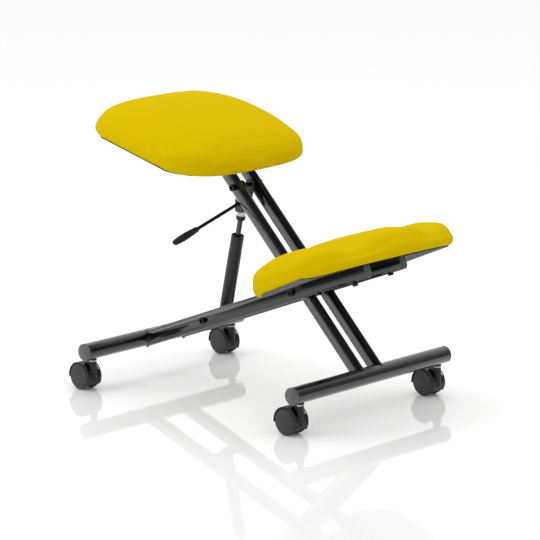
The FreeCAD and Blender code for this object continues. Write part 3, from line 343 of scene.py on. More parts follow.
FINISHES: dict[str, Finish] = {
    "frame_steel": POWDER_COAT,
    "cap_plastic": CAP_PLASTIC,
    # Black moulded nylon sleeves: duller than the tubes around them.
    "socket_plastic": HardFinish("black_nylon_sockets", "141414", "1B1B1B", 0.4, 0.5, 0.5, 0.01),
    "cover_fabric": UPHOLSTERY,
    # Bare birch plywood, rotary cut: pale, with long soft grain, seen only where a board shows.
    "board_plywood": PlywoodFinish("birch_plywood", "B99A6C", "D6BB8D"),
    # Black-oxide steel screws, slightly oily: dark heads with a bright rim.
    "black_screws": HardFinish("black_oxide_screws", "101011", "1C1C1E", 0.22, 0.32, 0.4, 0.006,
                               metallic=0.6),
    # Zinc-plated steel nuts: cool bright faces.
    "zinc_hardware": HardFinish("zinc_plated_nuts", "9C9DA0", "B6B7BA", 0.24, 0.34, 0.5, 0.005, metallic=1.0),
    # Black coated steel spacers and washers: as dark as the tubes, a little duller.
    "black_spacers": HardFinish("black_coated_spacers", "0C0C0C", "141415", 0.25, 0.35, 0.6, 0.005),
    # Black moulded nylon bushes: matte rings in the joints.
    "bush_nylon": HardFinish("black_nylon_bushes", "181818", "202020", 0.45, 0.55, 0.5, 0.008),
    # Satin black stove enamel on the gas spring: one wide dull highlight down its length.
    "spring_paint": HardFinish("satin_black_enamel", "121213", "1A1A1B", 0.34, 0.42, 0.8, 0.006),
    # Black moulded acetal guide in the cylinder's mouth: smooth and dull.
    "guide_plastic": HardFinish("black_acetal_guide", "141414", "1C1C1C", 0.35, 0.45, 0.5, 0.006),
    # Nitrided steel rod: dark grey with a narrow metallic streak.
    "rod_steel": HardFinish("nitrided_rod", "4C4D50", "58595C", 0.26, 0.34, 0.6, 0.003, metallic=1.0),
    # Natural moulded nylon rings: cream and slightly waxy, the only pale spot on the frame.
    "ring_nylon": HardFinish("natural_nylon_rings", "E6E0BE", "F0EAD0", 0.35, 0.45, 0.6, 0.008),
    # Coated steel strap of the bracket: duller and a shade lighter than the frame.
    "bracket_steel": HardFinish("coated_bracket_plate", "222223", "2B2B2C", 0.34, 0.44, 0.7, 0.006),
    # Ground steel pin: bright, with a sharp highlight.
    "pin_steel": HardFinish("ground_steel_pin", "A6A7A9", "BDBEC0", 0.18, 0.26, 0.5, 0.003, metallic=1.0),
    # Black enamelled lever rod: a thin bright line along its top.
    "lever_steel": HardFinish("black_lever_rod", "090909", "101010", 0.24, 0.32, 0.7, 0.004),
    # Moulded grip with a spark-eroded skin: soft, broad highlights.
    "grip_plastic": HardFinish("soft_black_grip", "161617", "202021", 0.42, 0.52, 0.45, 0.015),
    # Black moulded nylon hoods with a fine eroded skin: dark, with a soft edge light.
    "hood_nylon": HardFinish("black_nylon_hoods", "131313", "1A1A1A", 0.38, 0.48, 0.4, 0.012),
    # Charcoal moulded nylon wheels: greyer and more matte than the hoods.
    "wheel_nylon": HardFinish("charcoal_nylon_wheels", "262627", "2F2F30", 0.42, 0.52, 0.4, 0.012),
    # Polished zinc-plated stems: bright where they show below the sockets.
    "stem_steel": HardFinish("bright_castor_stems", "B4B5B8", "CBCCCF", 0.16, 0.24, 0.5, 0.003, metallic=1.0),
}


class Workshop:
    """Builds each finish once and gives it to objects."""

    def __init__(self) -> None:
        """Starts with no material made."""
        self.made: dict[str, bpy.types.Material] = {}

    def material(self, finish: Finish) -> bpy.types.Material:
        """Gives a finish's material.

        Args:
            finish: The finish.

        Returns:
            Its material, made on first use.
        """
        if finish.name not in self.made:
            self.made[finish.name] = finish.build()
        return self.made[finish.name]

    def dress(self, target: bpy.types.Object, finish: Finish) -> None:
        """Gives an object one finish all over.

        Args:
            target: The object.
            finish: Its finish.
        """
        target.data.materials.clear()
        target.data.materials.append(self.material(finish))


def mesh_object(name: str, vertices: Sequence[Sequence[float]],
                faces: Sequence[Sequence[int]]) -> bpy.types.Object:
    """Makes a smooth-shaded mesh object.

    Args:
        name: The object's name.
        vertices: Points in metres.
        faces: Vertex indices of each face.

    Returns:
        The object, linked to the scene.
    """
    mesh = bpy.data.meshes.new(name)
    mesh.from_pydata([tuple(v) for v in vertices], [], [tuple(f) for f in faces])
    mesh.update()
    work = bmesh.new()
    work.from_mesh(mesh)
    bmesh.ops.recalc_face_normals(work, faces=work.faces)
    work.to_mesh(mesh)
    work.free()
    mesh.shade_smooth()
    made = bpy.data.objects.new(name, mesh)
    bpy.context.scene.collection.objects.link(made)
    return made


def heading_at(degrees: float) -> Vector:
    """Direction in the chair's middle plane.

    Args:
        degrees: Angle from +Y towards +Z.

    Returns:
        The unit direction.
    """
    angle = math.radians(degrees)
    return Vector((0, math.cos(angle), math.sin(angle)))


def loft_faces(rings: int, around: int) -> list[tuple[int, int, int, int]]:
    """Side faces between closed rings of equal count.

    Args:
        rings: How many rings.
        around: Points in each ring.

    Returns:
        The faces' vertex indices.
    """
    faces = []
    for ring in range(rings - 1):
        for k in range(around):
            a, b = ring * around + k, ring * around + (k + 1) % around
            faces.append((a, b, b + around, a + around))
    return faces


def tube_along(name: str, points: Sequence[Vector], radii: Sequence[float]) -> bpy.types.Object:
    """Makes a closed loop of round bar through points.

    Args:
        name: The object's name.
        points: Points of the loop, in metres.
        radii: The bar's radius at each point, in metres.

    Returns:
        The loop as a mesh object.
    """
    around = 10
    vertices = []
    faces = []
    count = len(points)
    for i, point in enumerate(points):
        ahead = (points[(i + 1) % count] - points[i - 1]).normalized()
        across = ahead.cross(Vector((0.31, 0.17, 0.93))).normalized()
        lift = ahead.cross(across)
        for k in range(around):
            turn = 2 * math.pi * k / around
            vertices.append(point + (across * math.cos(turn) + lift * math.sin(turn)) * radii[i])
        for k in range(around):
            a, b = i * around + k, i * around + (k + 1) % around
            c, d = ((i + 1) % count) * around + (k + 1) % around, ((i + 1) % count) * around + k
            faces.append((a, b, c, d))
    return mesh_object(name, vertices, faces)


def smooth_step(value: float) -> float:
    """Smooth rise from 0 at zero to 1 at one.

    Args:
        value: Where on the rise.

    Returns:
        The height of the rise.
    """
    share = min(1.0, max(0.0, value))
    return share * share * (3 - 2 * share)


def arc_points(start: np.ndarray, middle: np.ndarray, end: np.ndarray, count: int) -> list[np.ndarray]:
    """Points on the circle arc through three points, without the last one.

    Args:
        start: First point, as (y, z).
        middle: A point between.
        end: Last point.
        count: How many points.

    Returns:
        The points from start up to just before end.
    """
    a, b = middle - start, end - start
    cross = 2 * (a[0] * b[1] - a[1] * b[0])
    if abs(cross) < 1e-12:
        return [start + (end - start) * i / count for i in range(count)]
    offset = np.array([b[1] * (a @ a) - a[1] * (b @ b), a[0] * (b @ b) - b[0] * (a @ a)]) / cross
    centre = start + offset
    first = math.atan2(*(start - centre)[::-1])
    mid = (math.atan2(*(middle - centre)[::-1]) - first) % (2 * math.pi)
    last = (math.atan2(*(end - centre)[::-1]) - first) % (2 * math.pi)
    sweep = last if mid < last else last - 2 * math.pi
    radius = float(np.linalg.norm(start - centre))
    turns = [first + sweep * i / count for i in range(count)]
    return [centre + radius * np.array([math.cos(t), math.sin(t)]) for t in turns]


def level_middle(flat: np.ndarray, rim: np.ndarray) -> np.ndarray:
    """Middle of the arc that leaves the flat underside level and ends at the rim.

    Args:
        flat: End of the flat underside, as (y, z).
        rim: Widest point of the side.

    Returns:
        The arc's middle point.
    """
    chord = rim - flat
    lean = math.atan2(chord[1], abs(chord[0]))
    outward = np.array([math.copysign(math.sin(lean), chord[0]), -math.cos(lean)])
    return flat + chord / 2 + outward * (float(np.linalg.norm(chord)) / 2 * math.tan(lean / 2))


@dataclass(frozen=True)
class CushionSize:
    """Sizes of one cushion in its own frame, in millimetres: flat underside at z = 0, front at -y."""

    half_width: float
    half_depth: float
    corner: float
    rim: float
    crown: float
    crown_power: float
    end_fall: float
    end_rise: float
    edge_inset: float = 18.0
    full_half: float = 110.0


@dataclass(frozen=True)
class Filling:
    """How the cover is filled: a short cloth simulation under even pressure, without gravity."""

    frames: int = 20
    quality: int = 4
    mass: float = 0.3
    stretch: float = 15.0
    bend: float = 2.0
    pressure: float = 4.0


@dataclass(frozen=True)
class Cushion:
    """A crowned foam cushion in a fabric cover, on a plywood board with a dust cloth stapled under it.

    Lengths without a unit in their comment are millimetres in the cushion's own frame.
    """

    name: str
    node: str
    board_node: str
    body: str
    size: CushionSize
    place: Matrix
    # cover, in metres: how far the filling may move it, how far inside it starts, the size of its
    # even faces, and below which height it is held by its staples
    cap: float = 3.0 * MM
    shrink: float = 1.5 * MM
    voxel: float = 4.5 * MM
    held_below: float = 10 * MM
    held_blend: float = 8 * MM
    relax_share: float = 0.5
    relax_rounds: int = 6
    filling: Filling = Filling()
    firmness: float = 0.75
    under_points: int = 48
    corner_points: int = 8
    side_points: int = 6
    edge_points: int = 10
    top_points: int = 32
    stations: int = 64
    last_station: float = 0.996
    # section, as shares of the half depth or of the rim's height
    ends_from: float = 0.9
    shoulder: float = 0.80
    rim_height_at: float = 0.97
    rim_at: float = 0.975
    edge_middle: float = 0.915
    rim_share: float = 0.55
    widest: float = 0.52
    edge_swell: float = 0.06
    side_pull: float = 0.28
    # foam that bulges below the board's plane, clear of the tubes
    bulge: float = 0.0
    bulge_from: float = 0.6
    bulge_to: float = 0.85
    clear_front: float = 76.0
    clear_side: float = 84.0
    clear_blend: float = 26.0
    # dust cloth
    cloth_margin: float = 2.0
    cloth_below: float = 1.3
    cloth_reach: float = 0.965
    cloth_stations: int = 90
    cloth_rows: int = 30
    pucker_long: float = 7.0
    pucker_short: float = 3.1
    pucker_share: float = 0.7
    # board
    board_margin: float = 3.0
    board_reach: float = 0.9
    board_stations: int = 48
    board_low: float = 0.2
    board_high: float = 10.0

    def rear_pull(self, x: float) -> float:
        """How far the rear edge is drawn in at x.

        Args:
            x: Sideways place in millimetres.

        Returns:
            Millimetres drawn in.
        """
        return 0.0

    def sink(self, x: float) -> tuple[float, float]:
        """How far the top is hollowed and the rear edge droops at x.

        Args:
            x: Sideways place in millimetres.

        Returns:
            The hollow and the droop in millimetres.
        """
        return 0.0, 0.0

    def bulge_at(self, x: float, y: float) -> float:
        """How far the foam bulges below the board's plane.

        Args:
            x: Sideways place in millimetres.
            y: Place from front to rear in millimetres.

        Returns:
            Millimetres below the plane.
        """
        s = self.size
        radial = (abs(x / s.half_width) ** s.corner + abs(y / s.half_depth) ** s.corner) ** (1 / s.corner)
        in_front = smooth_step((-self.clear_front - y) / self.clear_blend)
        beside = smooth_step((abs(x) - self.clear_side) / self.clear_blend)
        rim = smooth_step((radial - self.bulge_from) / (self.bulge_to - self.bulge_from))
        return self.bulge * max(in_front, beside) * rim

    def height(self, share: float, y: float) -> float:
        """Height of the top above the board's plane.

        Args:
            share: Place along the half width, from -1 to 1.
            y: Place from front to rear in millimetres.

        Returns:
            The height in millimetres.
        """
        s = self.size
        radial = (abs(share) ** s.corner + abs(y / s.half_depth) ** s.corner) ** (1 / s.corner)
        top = s.rim + s.crown * (1 - min(1.0, radial) ** s.crown_power)
        hollow, _ = self.sink(share * s.half_width)
        return top - hollow - self.end_share(share) * s.rim * s.end_fall

    def end_share(self, share: float) -> float:
        """How much a section belongs to the cushion's rounded end, from 0 to 1."""
        return smooth_step((abs(share) - self.ends_from) / (1 - self.ends_from))

    def flat_ends(self, share: float) -> tuple[np.ndarray, np.ndarray, float, float]:
        """The flat underside's two ends in one section, and the section's reach.

        Args:
            share: Place along the half width, from -1 to 1.

        Returns:
            Front end and rear end as (y, z), and y of the section's front and rear.
        """
        s = self.size
        x = share * s.half_width
        half = s.half_depth * max(0.0, 1 - abs(share) ** s.corner) ** (1 / s.corner)
        _, droop = self.sink(x)
        inset = s.edge_inset * min(1.0, half / s.full_half)
        front, rear = -half, half - self.rear_pull(x)
        base = self.end_share(share) * s.rim * s.end_rise
        return np.array([front + inset, base]), np.array([rear - inset, base - droop]), front, rear

    def section(self, share: float) -> list[np.ndarray]:
        """One closed section across the cushion.

        Args:
            share: Place along the half width, from -1 to 1.

        Returns:
            The outline as (y, z) points.
        """
        x = share * self.size.half_width
        flat_front, flat_rear, front, rear = self.flat_ends(share)
        middle, reach = (front + rear) / 2, (rear - front) / 2

        def top_point(part: float) -> np.ndarray:
            """The top's point at a share of the section's reach."""
            y = middle + part * reach
            return np.array([y, self.height(share, y)])

        steps = self.under_points
        under = [flat_front + (flat_rear - flat_front) * i / steps for i in range(steps)] + [flat_rear]
        under = [point - np.array([0.0, self.bulge_at(x, point[0])]) for point in under]
        low = {-1: under[0], 1: under.pop()}
        sides = {}
        for end, edge, flat in ((-1, front, flat_front), (1, rear, flat_rear)):
            rim_height = self.rim_share * top_point(end * self.rim_height_at)[1]
            rim = np.array([middle + end * self.rim_at * reach, rim_height])
            shoulder = top_point(end * self.shoulder)
            wide = np.array([edge, flat[1] + (rim_height - flat[1]) * self.widest])
            side = np.array([edge - self.side_pull * (edge - rim[0]), (wide[1] + rim[1]) / 2])
            swell = self.edge_swell * self.height(share, 0)
            bend = np.array([middle + end * self.edge_middle * reach, (rim_height + shoulder[1]) / 2 + swell])
            sides[end] = (wide, side, rim, bend, shoulder)
        wide, side, rim, bend, shoulder = sides[1]
        outline = list(under)
        outline += arc_points(low[1], level_middle(low[1], wide), wide, self.corner_points)
        outline += arc_points(wide, side, rim, self.side_points)
        outline += arc_points(rim, bend, shoulder, self.edge_points)
        wide, side, rim, bend, front_shoulder = sides[-1]
        outline += arc_points(shoulder, top_point(0.0), front_shoulder, self.top_points)
        outline += arc_points(front_shoulder, bend, rim, self.edge_points)
        outline += arc_points(rim, side, wide, self.side_points)
        outline += arc_points(wide, level_middle(low[-1], wide), low[-1], self.corner_points)
        return outline

    def shell(self) -> bpy.types.Object:
        """Makes the closed form from sections.

        Returns:
            The mesh object, in the cushion's own frame and in metres.
        """
        steps = range(self.stations + 1)
        shares = [self.last_station * math.sin(math.pi / 2 * (2 * i / self.stations - 1)) for i in steps]
        vertices = []
        for share in shares:
            outline = self.section(share)
            vertices += [(share * self.size.half_width * MM, y * MM, z * MM) for y, z in outline]
        count = len(outline)
        faces = loft_faces(len(shares), count)
        faces.append(tuple(range(count)))
        faces.append(tuple(range(self.stations * count, (self.stations + 1) * count)))
        return mesh_object(self.name, vertices, faces)

    def inflate(self, piece: bpy.types.Object) -> None:
        """Fills the cover by cloth simulation, held at its underside, with its movement capped.

        Args:
            piece: The cushion, already remeshed.
        """
        count = len(piece.data.vertices)
        rest = np.empty(count * 3)
        piece.data.vertices.foreach_get("co", rest)
        rest = rest.reshape(-1, 3)
        normals = np.empty(count * 3)
        piece.data.vertices.foreach_get("normal", normals)
        normals = normals.reshape(-1, 3)
        held = np.clip((self.held_below - rest[:, 2]) / self.held_blend, 0.0, 1.0)
        start = rest - normals * self.shrink * (1 - held)[:, None]
        piece.data.vertices.foreach_set("co", start.ravel())
        group = piece.vertex_groups.new(name="stapled")
        for i in np.flatnonzero(held > 0):
            group.add([int(i)], float(held[i]), "REPLACE")
        cloth = piece.modifiers.new("fill", "CLOTH")
        cloth.settings.quality = self.filling.quality
        cloth.settings.mass = self.filling.mass
        cloth.settings.tension_stiffness = self.filling.stretch
        cloth.settings.compression_stiffness = self.filling.stretch
        cloth.settings.bending_stiffness = self.filling.bend
        cloth.settings.use_pressure = True
        cloth.settings.uniform_pressure_force = self.filling.pressure
        cloth.settings.effector_weights.gravity = 0
        cloth.settings.vertex_group_mass = group.name
        cloth.collision_settings.use_collision = False
        scene = bpy.context.scene
        for frame_number in range(1, self.filling.frames + 1):
            scene.frame_set(frame_number)
        evaluated = piece.evaluated_get(bpy.context.evaluated_depsgraph_get())
        moved = np.empty(count * 3)
        evaluated.data.vertices.foreach_get("co", moved)
        move = moved.reshape(-1, 3) - rest
        length = np.linalg.norm(move, axis=1, keepdims=True)
        move *= np.minimum(1.0, self.cap / np.maximum(length, 1e-9))
        piece.modifiers.remove(cloth)
        piece.vertex_groups.clear()
        piece.data.vertices.foreach_set("co", (rest + move * (1 - held)[:, None]).ravel())
        piece.data.update()
        scene.frame_set(1)

    def dust_cloth(self) -> bpy.types.Object:
        """Makes the cloth under the board, with a slightly wavy stapled edge.

        Returns:
            The mesh object, in the cushion's own frame and in metres.
        """
        stations, rows = self.cloth_stations, self.cloth_rows
        vertices = []
        faces = []
        for i in range(stations + 1):
            share = self.cloth_reach * (2 * i / stations - 1)
            a, b, _, _ = self.flat_ends(share)
            x = share * self.size.half_width
            wave = math.sin(x / self.pucker_long) + self.pucker_share * math.sin(x / self.pucker_short + 1)
            front, rear = a[0] + self.cloth_margin + wave, b[0] - self.cloth_margin + wave
            for k in range(rows + 1):
                y = front + (rear - front) * k / rows
                along = min(1.0, max(0.0, (y - a[0]) / max(1e-6, b[0] - a[0])))
                z = a[1] + (b[1] - a[1]) * along - self.bulge_at(x, y) - self.cloth_below
                vertices.append((x * MM, y * MM, z * MM))
        for i in range(stations):
            for k in range(rows):
                n = i * (rows + 1) + k
                faces.append((n, n + 1, n + rows + 2, n + rows + 1))
        return mesh_object(self.name + "_dust_cloth", vertices, faces)

    def board(self) -> bpy.types.Object:
        """Makes the plywood board, inside the flat part of the underside.

        Returns:
            The mesh object, in the cushion's own frame and in metres.
        """
        stations = self.board_stations
        front_line, rear_line = [], []
        for i in range(stations + 1):
            share = self.board_reach * math.sin(math.pi / 2 * (2 * i / stations - 1))
            a, b, _, _ = self.flat_ends(share)
            x = share * self.size.half_width
            front_line.append((x, a[0] + self.board_margin))
            rear_line.append((x, b[0] - self.board_margin))
        outline = front_line + rear_line[::-1]
        count = len(outline)
        vertices = [(x * MM, y * MM, z * MM) for z in (self.board_low, self.board_high) for x, y in outline]
        faces = [tuple(range(count)), tuple(range(count, 2 * count))] + loft_faces(2, count)
        made = mesh_object(self.name + "_board", vertices, faces)
        made.data.shade_flat()
        return made

    def build(self, workshop: Workshop) -> None:
        """Args:
            workshop: Source of materials.
        """
        piece = self.shell()
        remesh = piece.modifiers.new("even", "REMESH")
        remesh.mode = "VOXEL"
        remesh.voxel_size = self.voxel
        remesh.use_smooth_shade = True
        even = bpy.data.meshes.new_from_object(piece.evaluated_get(bpy.context.evaluated_depsgraph_get()))
        piece.modifiers.remove(remesh)
        piece.data = even
        relax = piece.modifiers.new("relax", "SMOOTH")
        relax.factor = self.relax_share
        relax.iterations = self.relax_rounds
        depsgraph = bpy.context.evaluated_depsgraph_get()
        piece.data = bpy.data.meshes.new_from_object(piece.evaluated_get(depsgraph))
        piece.modifiers.clear()
        self.inflate(piece)
        piece.data.shade_smooth()
        piece.modifiers.new("subdivide", "SUBSURF").levels = 1
        piece.modifiers["subdivide"].render_levels = 1
        under = self.dust_cloth()
        board = self.board()
        rows = (
            (piece, UPHOLSTERY, "cover_fabric"),
            # the dust cloth's grey is partly its own colour and partly painted shade under the board
            (under, DUST_CLOTH, "cover_fabric"),
            (board, FINISHES["board_plywood"], "board_plywood"),
        )
        for made, finish, slot in rows:
            made.matrix_world = self.place
            workshop.dress(made, finish)
            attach(made, self.body)
        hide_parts(self.node)
        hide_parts(self.board_node)
        LOG.info("%s: cover with %d vertices", self.name, len(piece.data.vertices))


@dataclass(frozen=True)
class KneePad(Cushion):
    """The knee pad: two hollows, a ridge between them, and a bay at the rear for the posts.

    Lengths are millimetres.
    """

    bay_depth: float = 37.0
    bay_flat: float = 40.0
    bay_blend: float = 70.0
    bulge: float = 7.5
    hollow: float = 16.5
    hollow_at: float = 102.0
    hollow_half_width: float = 62.0
    droop: float = 5.0
    droop_start: float = 88.0

    def rear_pull(self, x: float) -> float:
        """How far the bay draws the rear edge in at x.

        Args:
            x: Sideways place in millimetres.

        Returns:
            Millimetres drawn in.
        """
        return self.bay_depth * (1 - smooth_step((abs(x) - self.bay_flat) / self.bay_blend))

    def sink(self, x: float) -> tuple[float, float]:
        """Depth of the hollow and droop of the rear edge at x.

        Args:
            x: Sideways place in millimetres.

        Returns:
            The hollow and the droop in millimetres.
        """
        away = min(1.0, abs(abs(x) - self.hollow_at) / self.hollow_half_width)
        hollow = self.hollow * 0.5 * (1 + math.cos(math.pi * away))
        return hollow, self.droop * smooth_step((abs(x) - self.droop_start) / self.droop_start)


@dataclass(frozen=True)
class ChairPlan:
    """Places that the looks share with the CAD, worked out from the frame's own boxes, in metres."""

    knee_tilt: float = 20.7
    post_tilt: float = 46.16
    seat_tilt: float = 15.1
    tube_radius: float = 16.0 * MM
    knee_drop: float = 3.0 * MM
    pad_centre: float = 524.0 * MM
    oval_half_depth: float = 15.0 * MM
    oval_half_width: float = 7.5 * MM
    board_half_thick: float = 5.0 * MM
    knee_tube_x: float = 49.3 * MM
    post_x: float = 25.0 * MM

    def axis(self, node: str) -> Vector:
        """Middle of a cross tube.

        Args:
            node: The cross tube's node.

        Returns:
            Its middle point.
        """
        low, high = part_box(node)
        return (low + high) / 2

    def knee_start(self) -> Vector:
        """Where the knee tubes' middle line starts.

        Returns:
            The point inside the rear cross tube.
        """
        return self.axis("rear_cross_tube") - Vector((0, 0, self.knee_drop))

    def pad_place(self) -> Matrix:
        """The knee pad's frame.

        Returns:
            Its matrix in the row frame.
        """
        tilt = math.radians(self.knee_tilt)
        along = Vector((0, -math.cos(tilt), math.sin(tilt)))
        normal = Vector((0, math.sin(tilt), math.cos(tilt)))
        origin = self.knee_start() + along * self.pad_centre + normal * self.oval_half_depth
        return Matrix.Translation(origin) @ Matrix.Rotation(-tilt, 4, "X")

    def seat_place(self) -> Matrix:
        """The seat's frame, from the box of its tilted board.

        Returns:
            Its matrix in the row frame.
        """
        tilt = math.radians(self.seat_tilt)
        low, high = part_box("seat_board")
        up = Vector((0, -math.sin(tilt), math.cos(tilt)))
        origin = (low + high) / 2 - up * self.board_half_thick
        return Matrix.Translation(origin) @ Matrix.Rotation(tilt, 4, "X")


@dataclass(frozen=True)
class FrameTubes:
    """The four oval tubes with their true section, fuller than a flat oval, and the knee tubes' end caps."""

    plan: ChairPlan
    around: int = 56
    power: float = 2.25
    knee_length: float = 593.0 * MM
    end_break: float = 0.5 * MM
    end_lip: float = 2.0 * MM
    cap_rim: float = 4.0 * MM
    cap_edge: float = 1.6 * MM
    cap_gap: float = 0.3 * MM
    cap_neck: float = 1.0 * MM
    cap_shy: float = 0.1 * MM
    cap_steps: int = 5
    plate: float = 3.0 * MM

    def outline(self, inset: float = 0.0) -> list[tuple[float, float]]:
        """The section's outline.

        Args:
            inset: How far inside the full outline.

        Returns:
            Points as (sideways, depth), in metres.
        """
        wide, deep = self.plan.oval_half_width - inset, self.plan.oval_half_depth - inset
        points = []
        for i in range(self.around):
            turn = 2 * math.pi * i / self.around
            c, d = math.cos(turn), math.sin(turn)
            x = math.copysign(abs(c) ** (2 / self.power), c) * wide
            y = math.copysign(abs(d) ** (2 / self.power), d) * deep
            points.append((x, y))
        return points

    def sweep(self, name: str, start: Vector, heading: Vector,
              rings: Sequence[tuple[float, Sequence[float]]], open_end: bool) -> bpy.types.Object:
        """Joins rings along a tube into a piece with a closed far end.

        Args:
            name: The piece's name.
            start: Where the middle line starts.
            heading: The tube's direction.
            rings: For each ring its inset and its distance along the heading at each outline point.
            open_end: Whether the last ring stays open.

        Returns:
            The piece.
        """
        across = Vector((0, -heading.z, heading.y))
        vertices = []
        for inset, along in rings:
            for (x, y), reach in zip(self.outline(inset), along):
                vertices.append(start + Vector((x, 0, 0)) + across * y + heading * reach)
        faces = loft_faces(len(rings), self.around)
        if not open_end:
            faces.append(tuple(range((len(rings) - 1) * self.around, len(rings) * self.around)))
        return mesh_object(name, vertices, faces)

    def level(self, reach: float) -> list[float]:
        """One ring's distances when it stands square to the tube."""
        return [reach] * self.around

    def place(self, made: bpy.types.Object, finish: Finish, slot: str, body: str, node: str,
              workshop: Workshop) -> None:
        """Dresses one piece, attaches it to its body and hides the CAD node it stands for.

        Args:
            made: The piece.
            finish: Its finish.
            slot: Not used.
            body: The CAD body it rides on.
            node: The CAD node it stands for.
            workshop: Source of materials.
        """
        workshop.dress(made, finish)
        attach(made, body)
        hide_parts(node)

    def knee_tube(self, side: Side, workshop: Workshop) -> None:
        """Makes one knee tube and the cap in its end.

        Args:
            side: Which side.
            workshop: Source of materials.
        """
        plan = self.plan
        heading = heading_at(180 - plan.knee_tilt)
        start = plan.knee_start() + Vector((side.value * plan.knee_tube_x, 0, 0))
        end = self.level(self.knee_length)
        rings = [(0.0, self.level(0.0)), (0.0, self.level(self.knee_length - 1.2 * self.end_break)),
                 (self.end_break, end), (self.end_lip, end)]
        tube = self.sweep(f"knee_tube_{side.label}_skin", start, heading, rings, False)
        self.place(tube, POWDER_COAT, "frame_steel", "knee_frame", f"knee_tube_{side.label}", workshop)
        first, last = self.knee_length + self.cap_gap, self.knee_length + self.cap_rim
        rings = [(self.cap_neck, self.level(first - self.end_break)), (self.cap_shy, self.level(first))]
        for i in range(self.cap_steps + 1):
            turn = math.pi / 2 * i / self.cap_steps
            inset = self.cap_shy + self.cap_edge * (1 - math.cos(turn))
            rings.append((inset, self.level(last - self.cap_edge * (1 - math.sin(turn)))))
        cap = self.sweep(f"knee_tube_cap_{side.label}", start, heading, rings, False)
        self.place(cap, CAP_PLASTIC, "cap_plastic", "knee_frame", "knee_tube_caps", workshop)

    def seat_post(self, side: Side, workshop: Workshop) -> None:
        """Makes one post, cut to the seat plate's underside.

        Args:
            side: Which side.
            workshop: Source of materials.
        """
        plan = self.plan
        seat = plan.seat_place()
        heading = heading_at(plan.post_tilt)
        across = Vector((0, -heading.z, heading.y))
        start = plan.axis("front_cross_tube") + Vector((side.value * plan.post_x, 0, 0))
        up = seat.to_3x3() @ Vector((0, 0, 1))
        top = seat.translation - up * self.plate
        reach = [(top - start - across * y).dot(up) / heading.dot(up) for _, y in self.outline()]
        rings = [(0.0, self.level(0.0)), (0.0, reach)]
        post = self.sweep(f"seat_post_{side.label}_skin", start, heading, rings, True)
        self.place(post, POWDER_COAT, "frame_steel", "seat_frame", f"seat_post_{side.label}", workshop)

    def build(self, workshop: Workshop) -> None:
        """Makes the four tubes.

        Args:
            workshop: Source of materials.
        """
        for side in Side:
            self.knee_tube(side, workshop)
            self.seat_post(side, workshop)
            LOG.info("oval tubes and cap: %s", side.label)


@dataclass(frozen=True)
class WeldBeads:
    """Fillet welds where the oval tubes meet the round cross tubes."""

    plan: ChairPlan
    bead_radius: float = 1.7 * MM
    ripple: float = 0.3 * MM
    ripple_step: float = 2.4
    points: int = 72

    def loop(self, name: str, centre: Vector, start: Vector, heading: Vector, x: float) -> bpy.types.Object:
        """Makes one bead round one tube's foot.

        Args:
            name: The piece's name.
            centre: Middle of the cross tube.
            start: Where the oval tube's middle line starts.
            heading: The oval tube's direction.
            x: The oval tube's sideways place.

        Returns:
            The bead.
        """
        plan = self.plan
        across = Vector((0, -heading.z, heading.y))
        points, radii = [], []
        for i in range(self.points):
            turn = 2 * math.pi * i / self.points
            side = plan.oval_half_width * math.cos(turn)
            depth = plan.oval_half_depth * math.sin(turn)
            offset = start + across * depth - centre
            offset.x = 0
            half = offset.dot(heading)
            room = max(0.0, half * half - offset.length_squared + plan.tube_radius ** 2)
            along = -half + math.sqrt(room)
            points.append(Vector((x + side, centre.y, centre.z)) + offset + heading * along)
            radii.append(self.bead_radius + self.ripple * math.sin(i * self.ripple_step))
        return tube_along(name, points, radii)

    def build(self, workshop: Workshop) -> None:
        """Makes all four beads.

        Args:
            workshop: Source of materials.
        """
        plan = self.plan
        rows = (
            ("rear_cross_tube", plan.knee_start(), heading_at(180 - plan.knee_tilt),
             plan.knee_tube_x, "knee_frame"),
            ("front_cross_tube", plan.axis("front_cross_tube"), heading_at(plan.post_tilt),
             plan.post_x, "seat_frame"),
        )
        for node, start, heading, x, body in rows:
            for side in Side:
                name = f"weld_{node}_{side.label}"
                bead = self.loop(name, plan.axis(node), start, heading, side.value * x)
                workshop.dress(bead, POWDER_COAT)
                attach(bead, body)
        LOG.info("weld beads: 4")


@dataclass(frozen=True)
class Hardware:
    """Every CAD node that stays as it is, given the finish of its material slot."""

    frame: dict[str, object]

    def dress(self, workshop: Workshop) -> None:
        """Dresses the nodes.

        Args:
            workshop: Source of materials.
        """
        slots = {row["node"]: row["material_slot"] for row in self.frame["record"]["subparts"]}
        for node, made in self.frame["nodes"].items():
            workshop.dress(made, FINISHES[slots[node]])
        LOG.info("CAD nodes dressed: %d", len(slots))


@dataclass(frozen=True)
class Lamp:
    """One softbox: where it stands, how large it is and how much light it gives."""

    name: str
    place: tuple[float, float, float]
    width: float
    height: float
    watts: float


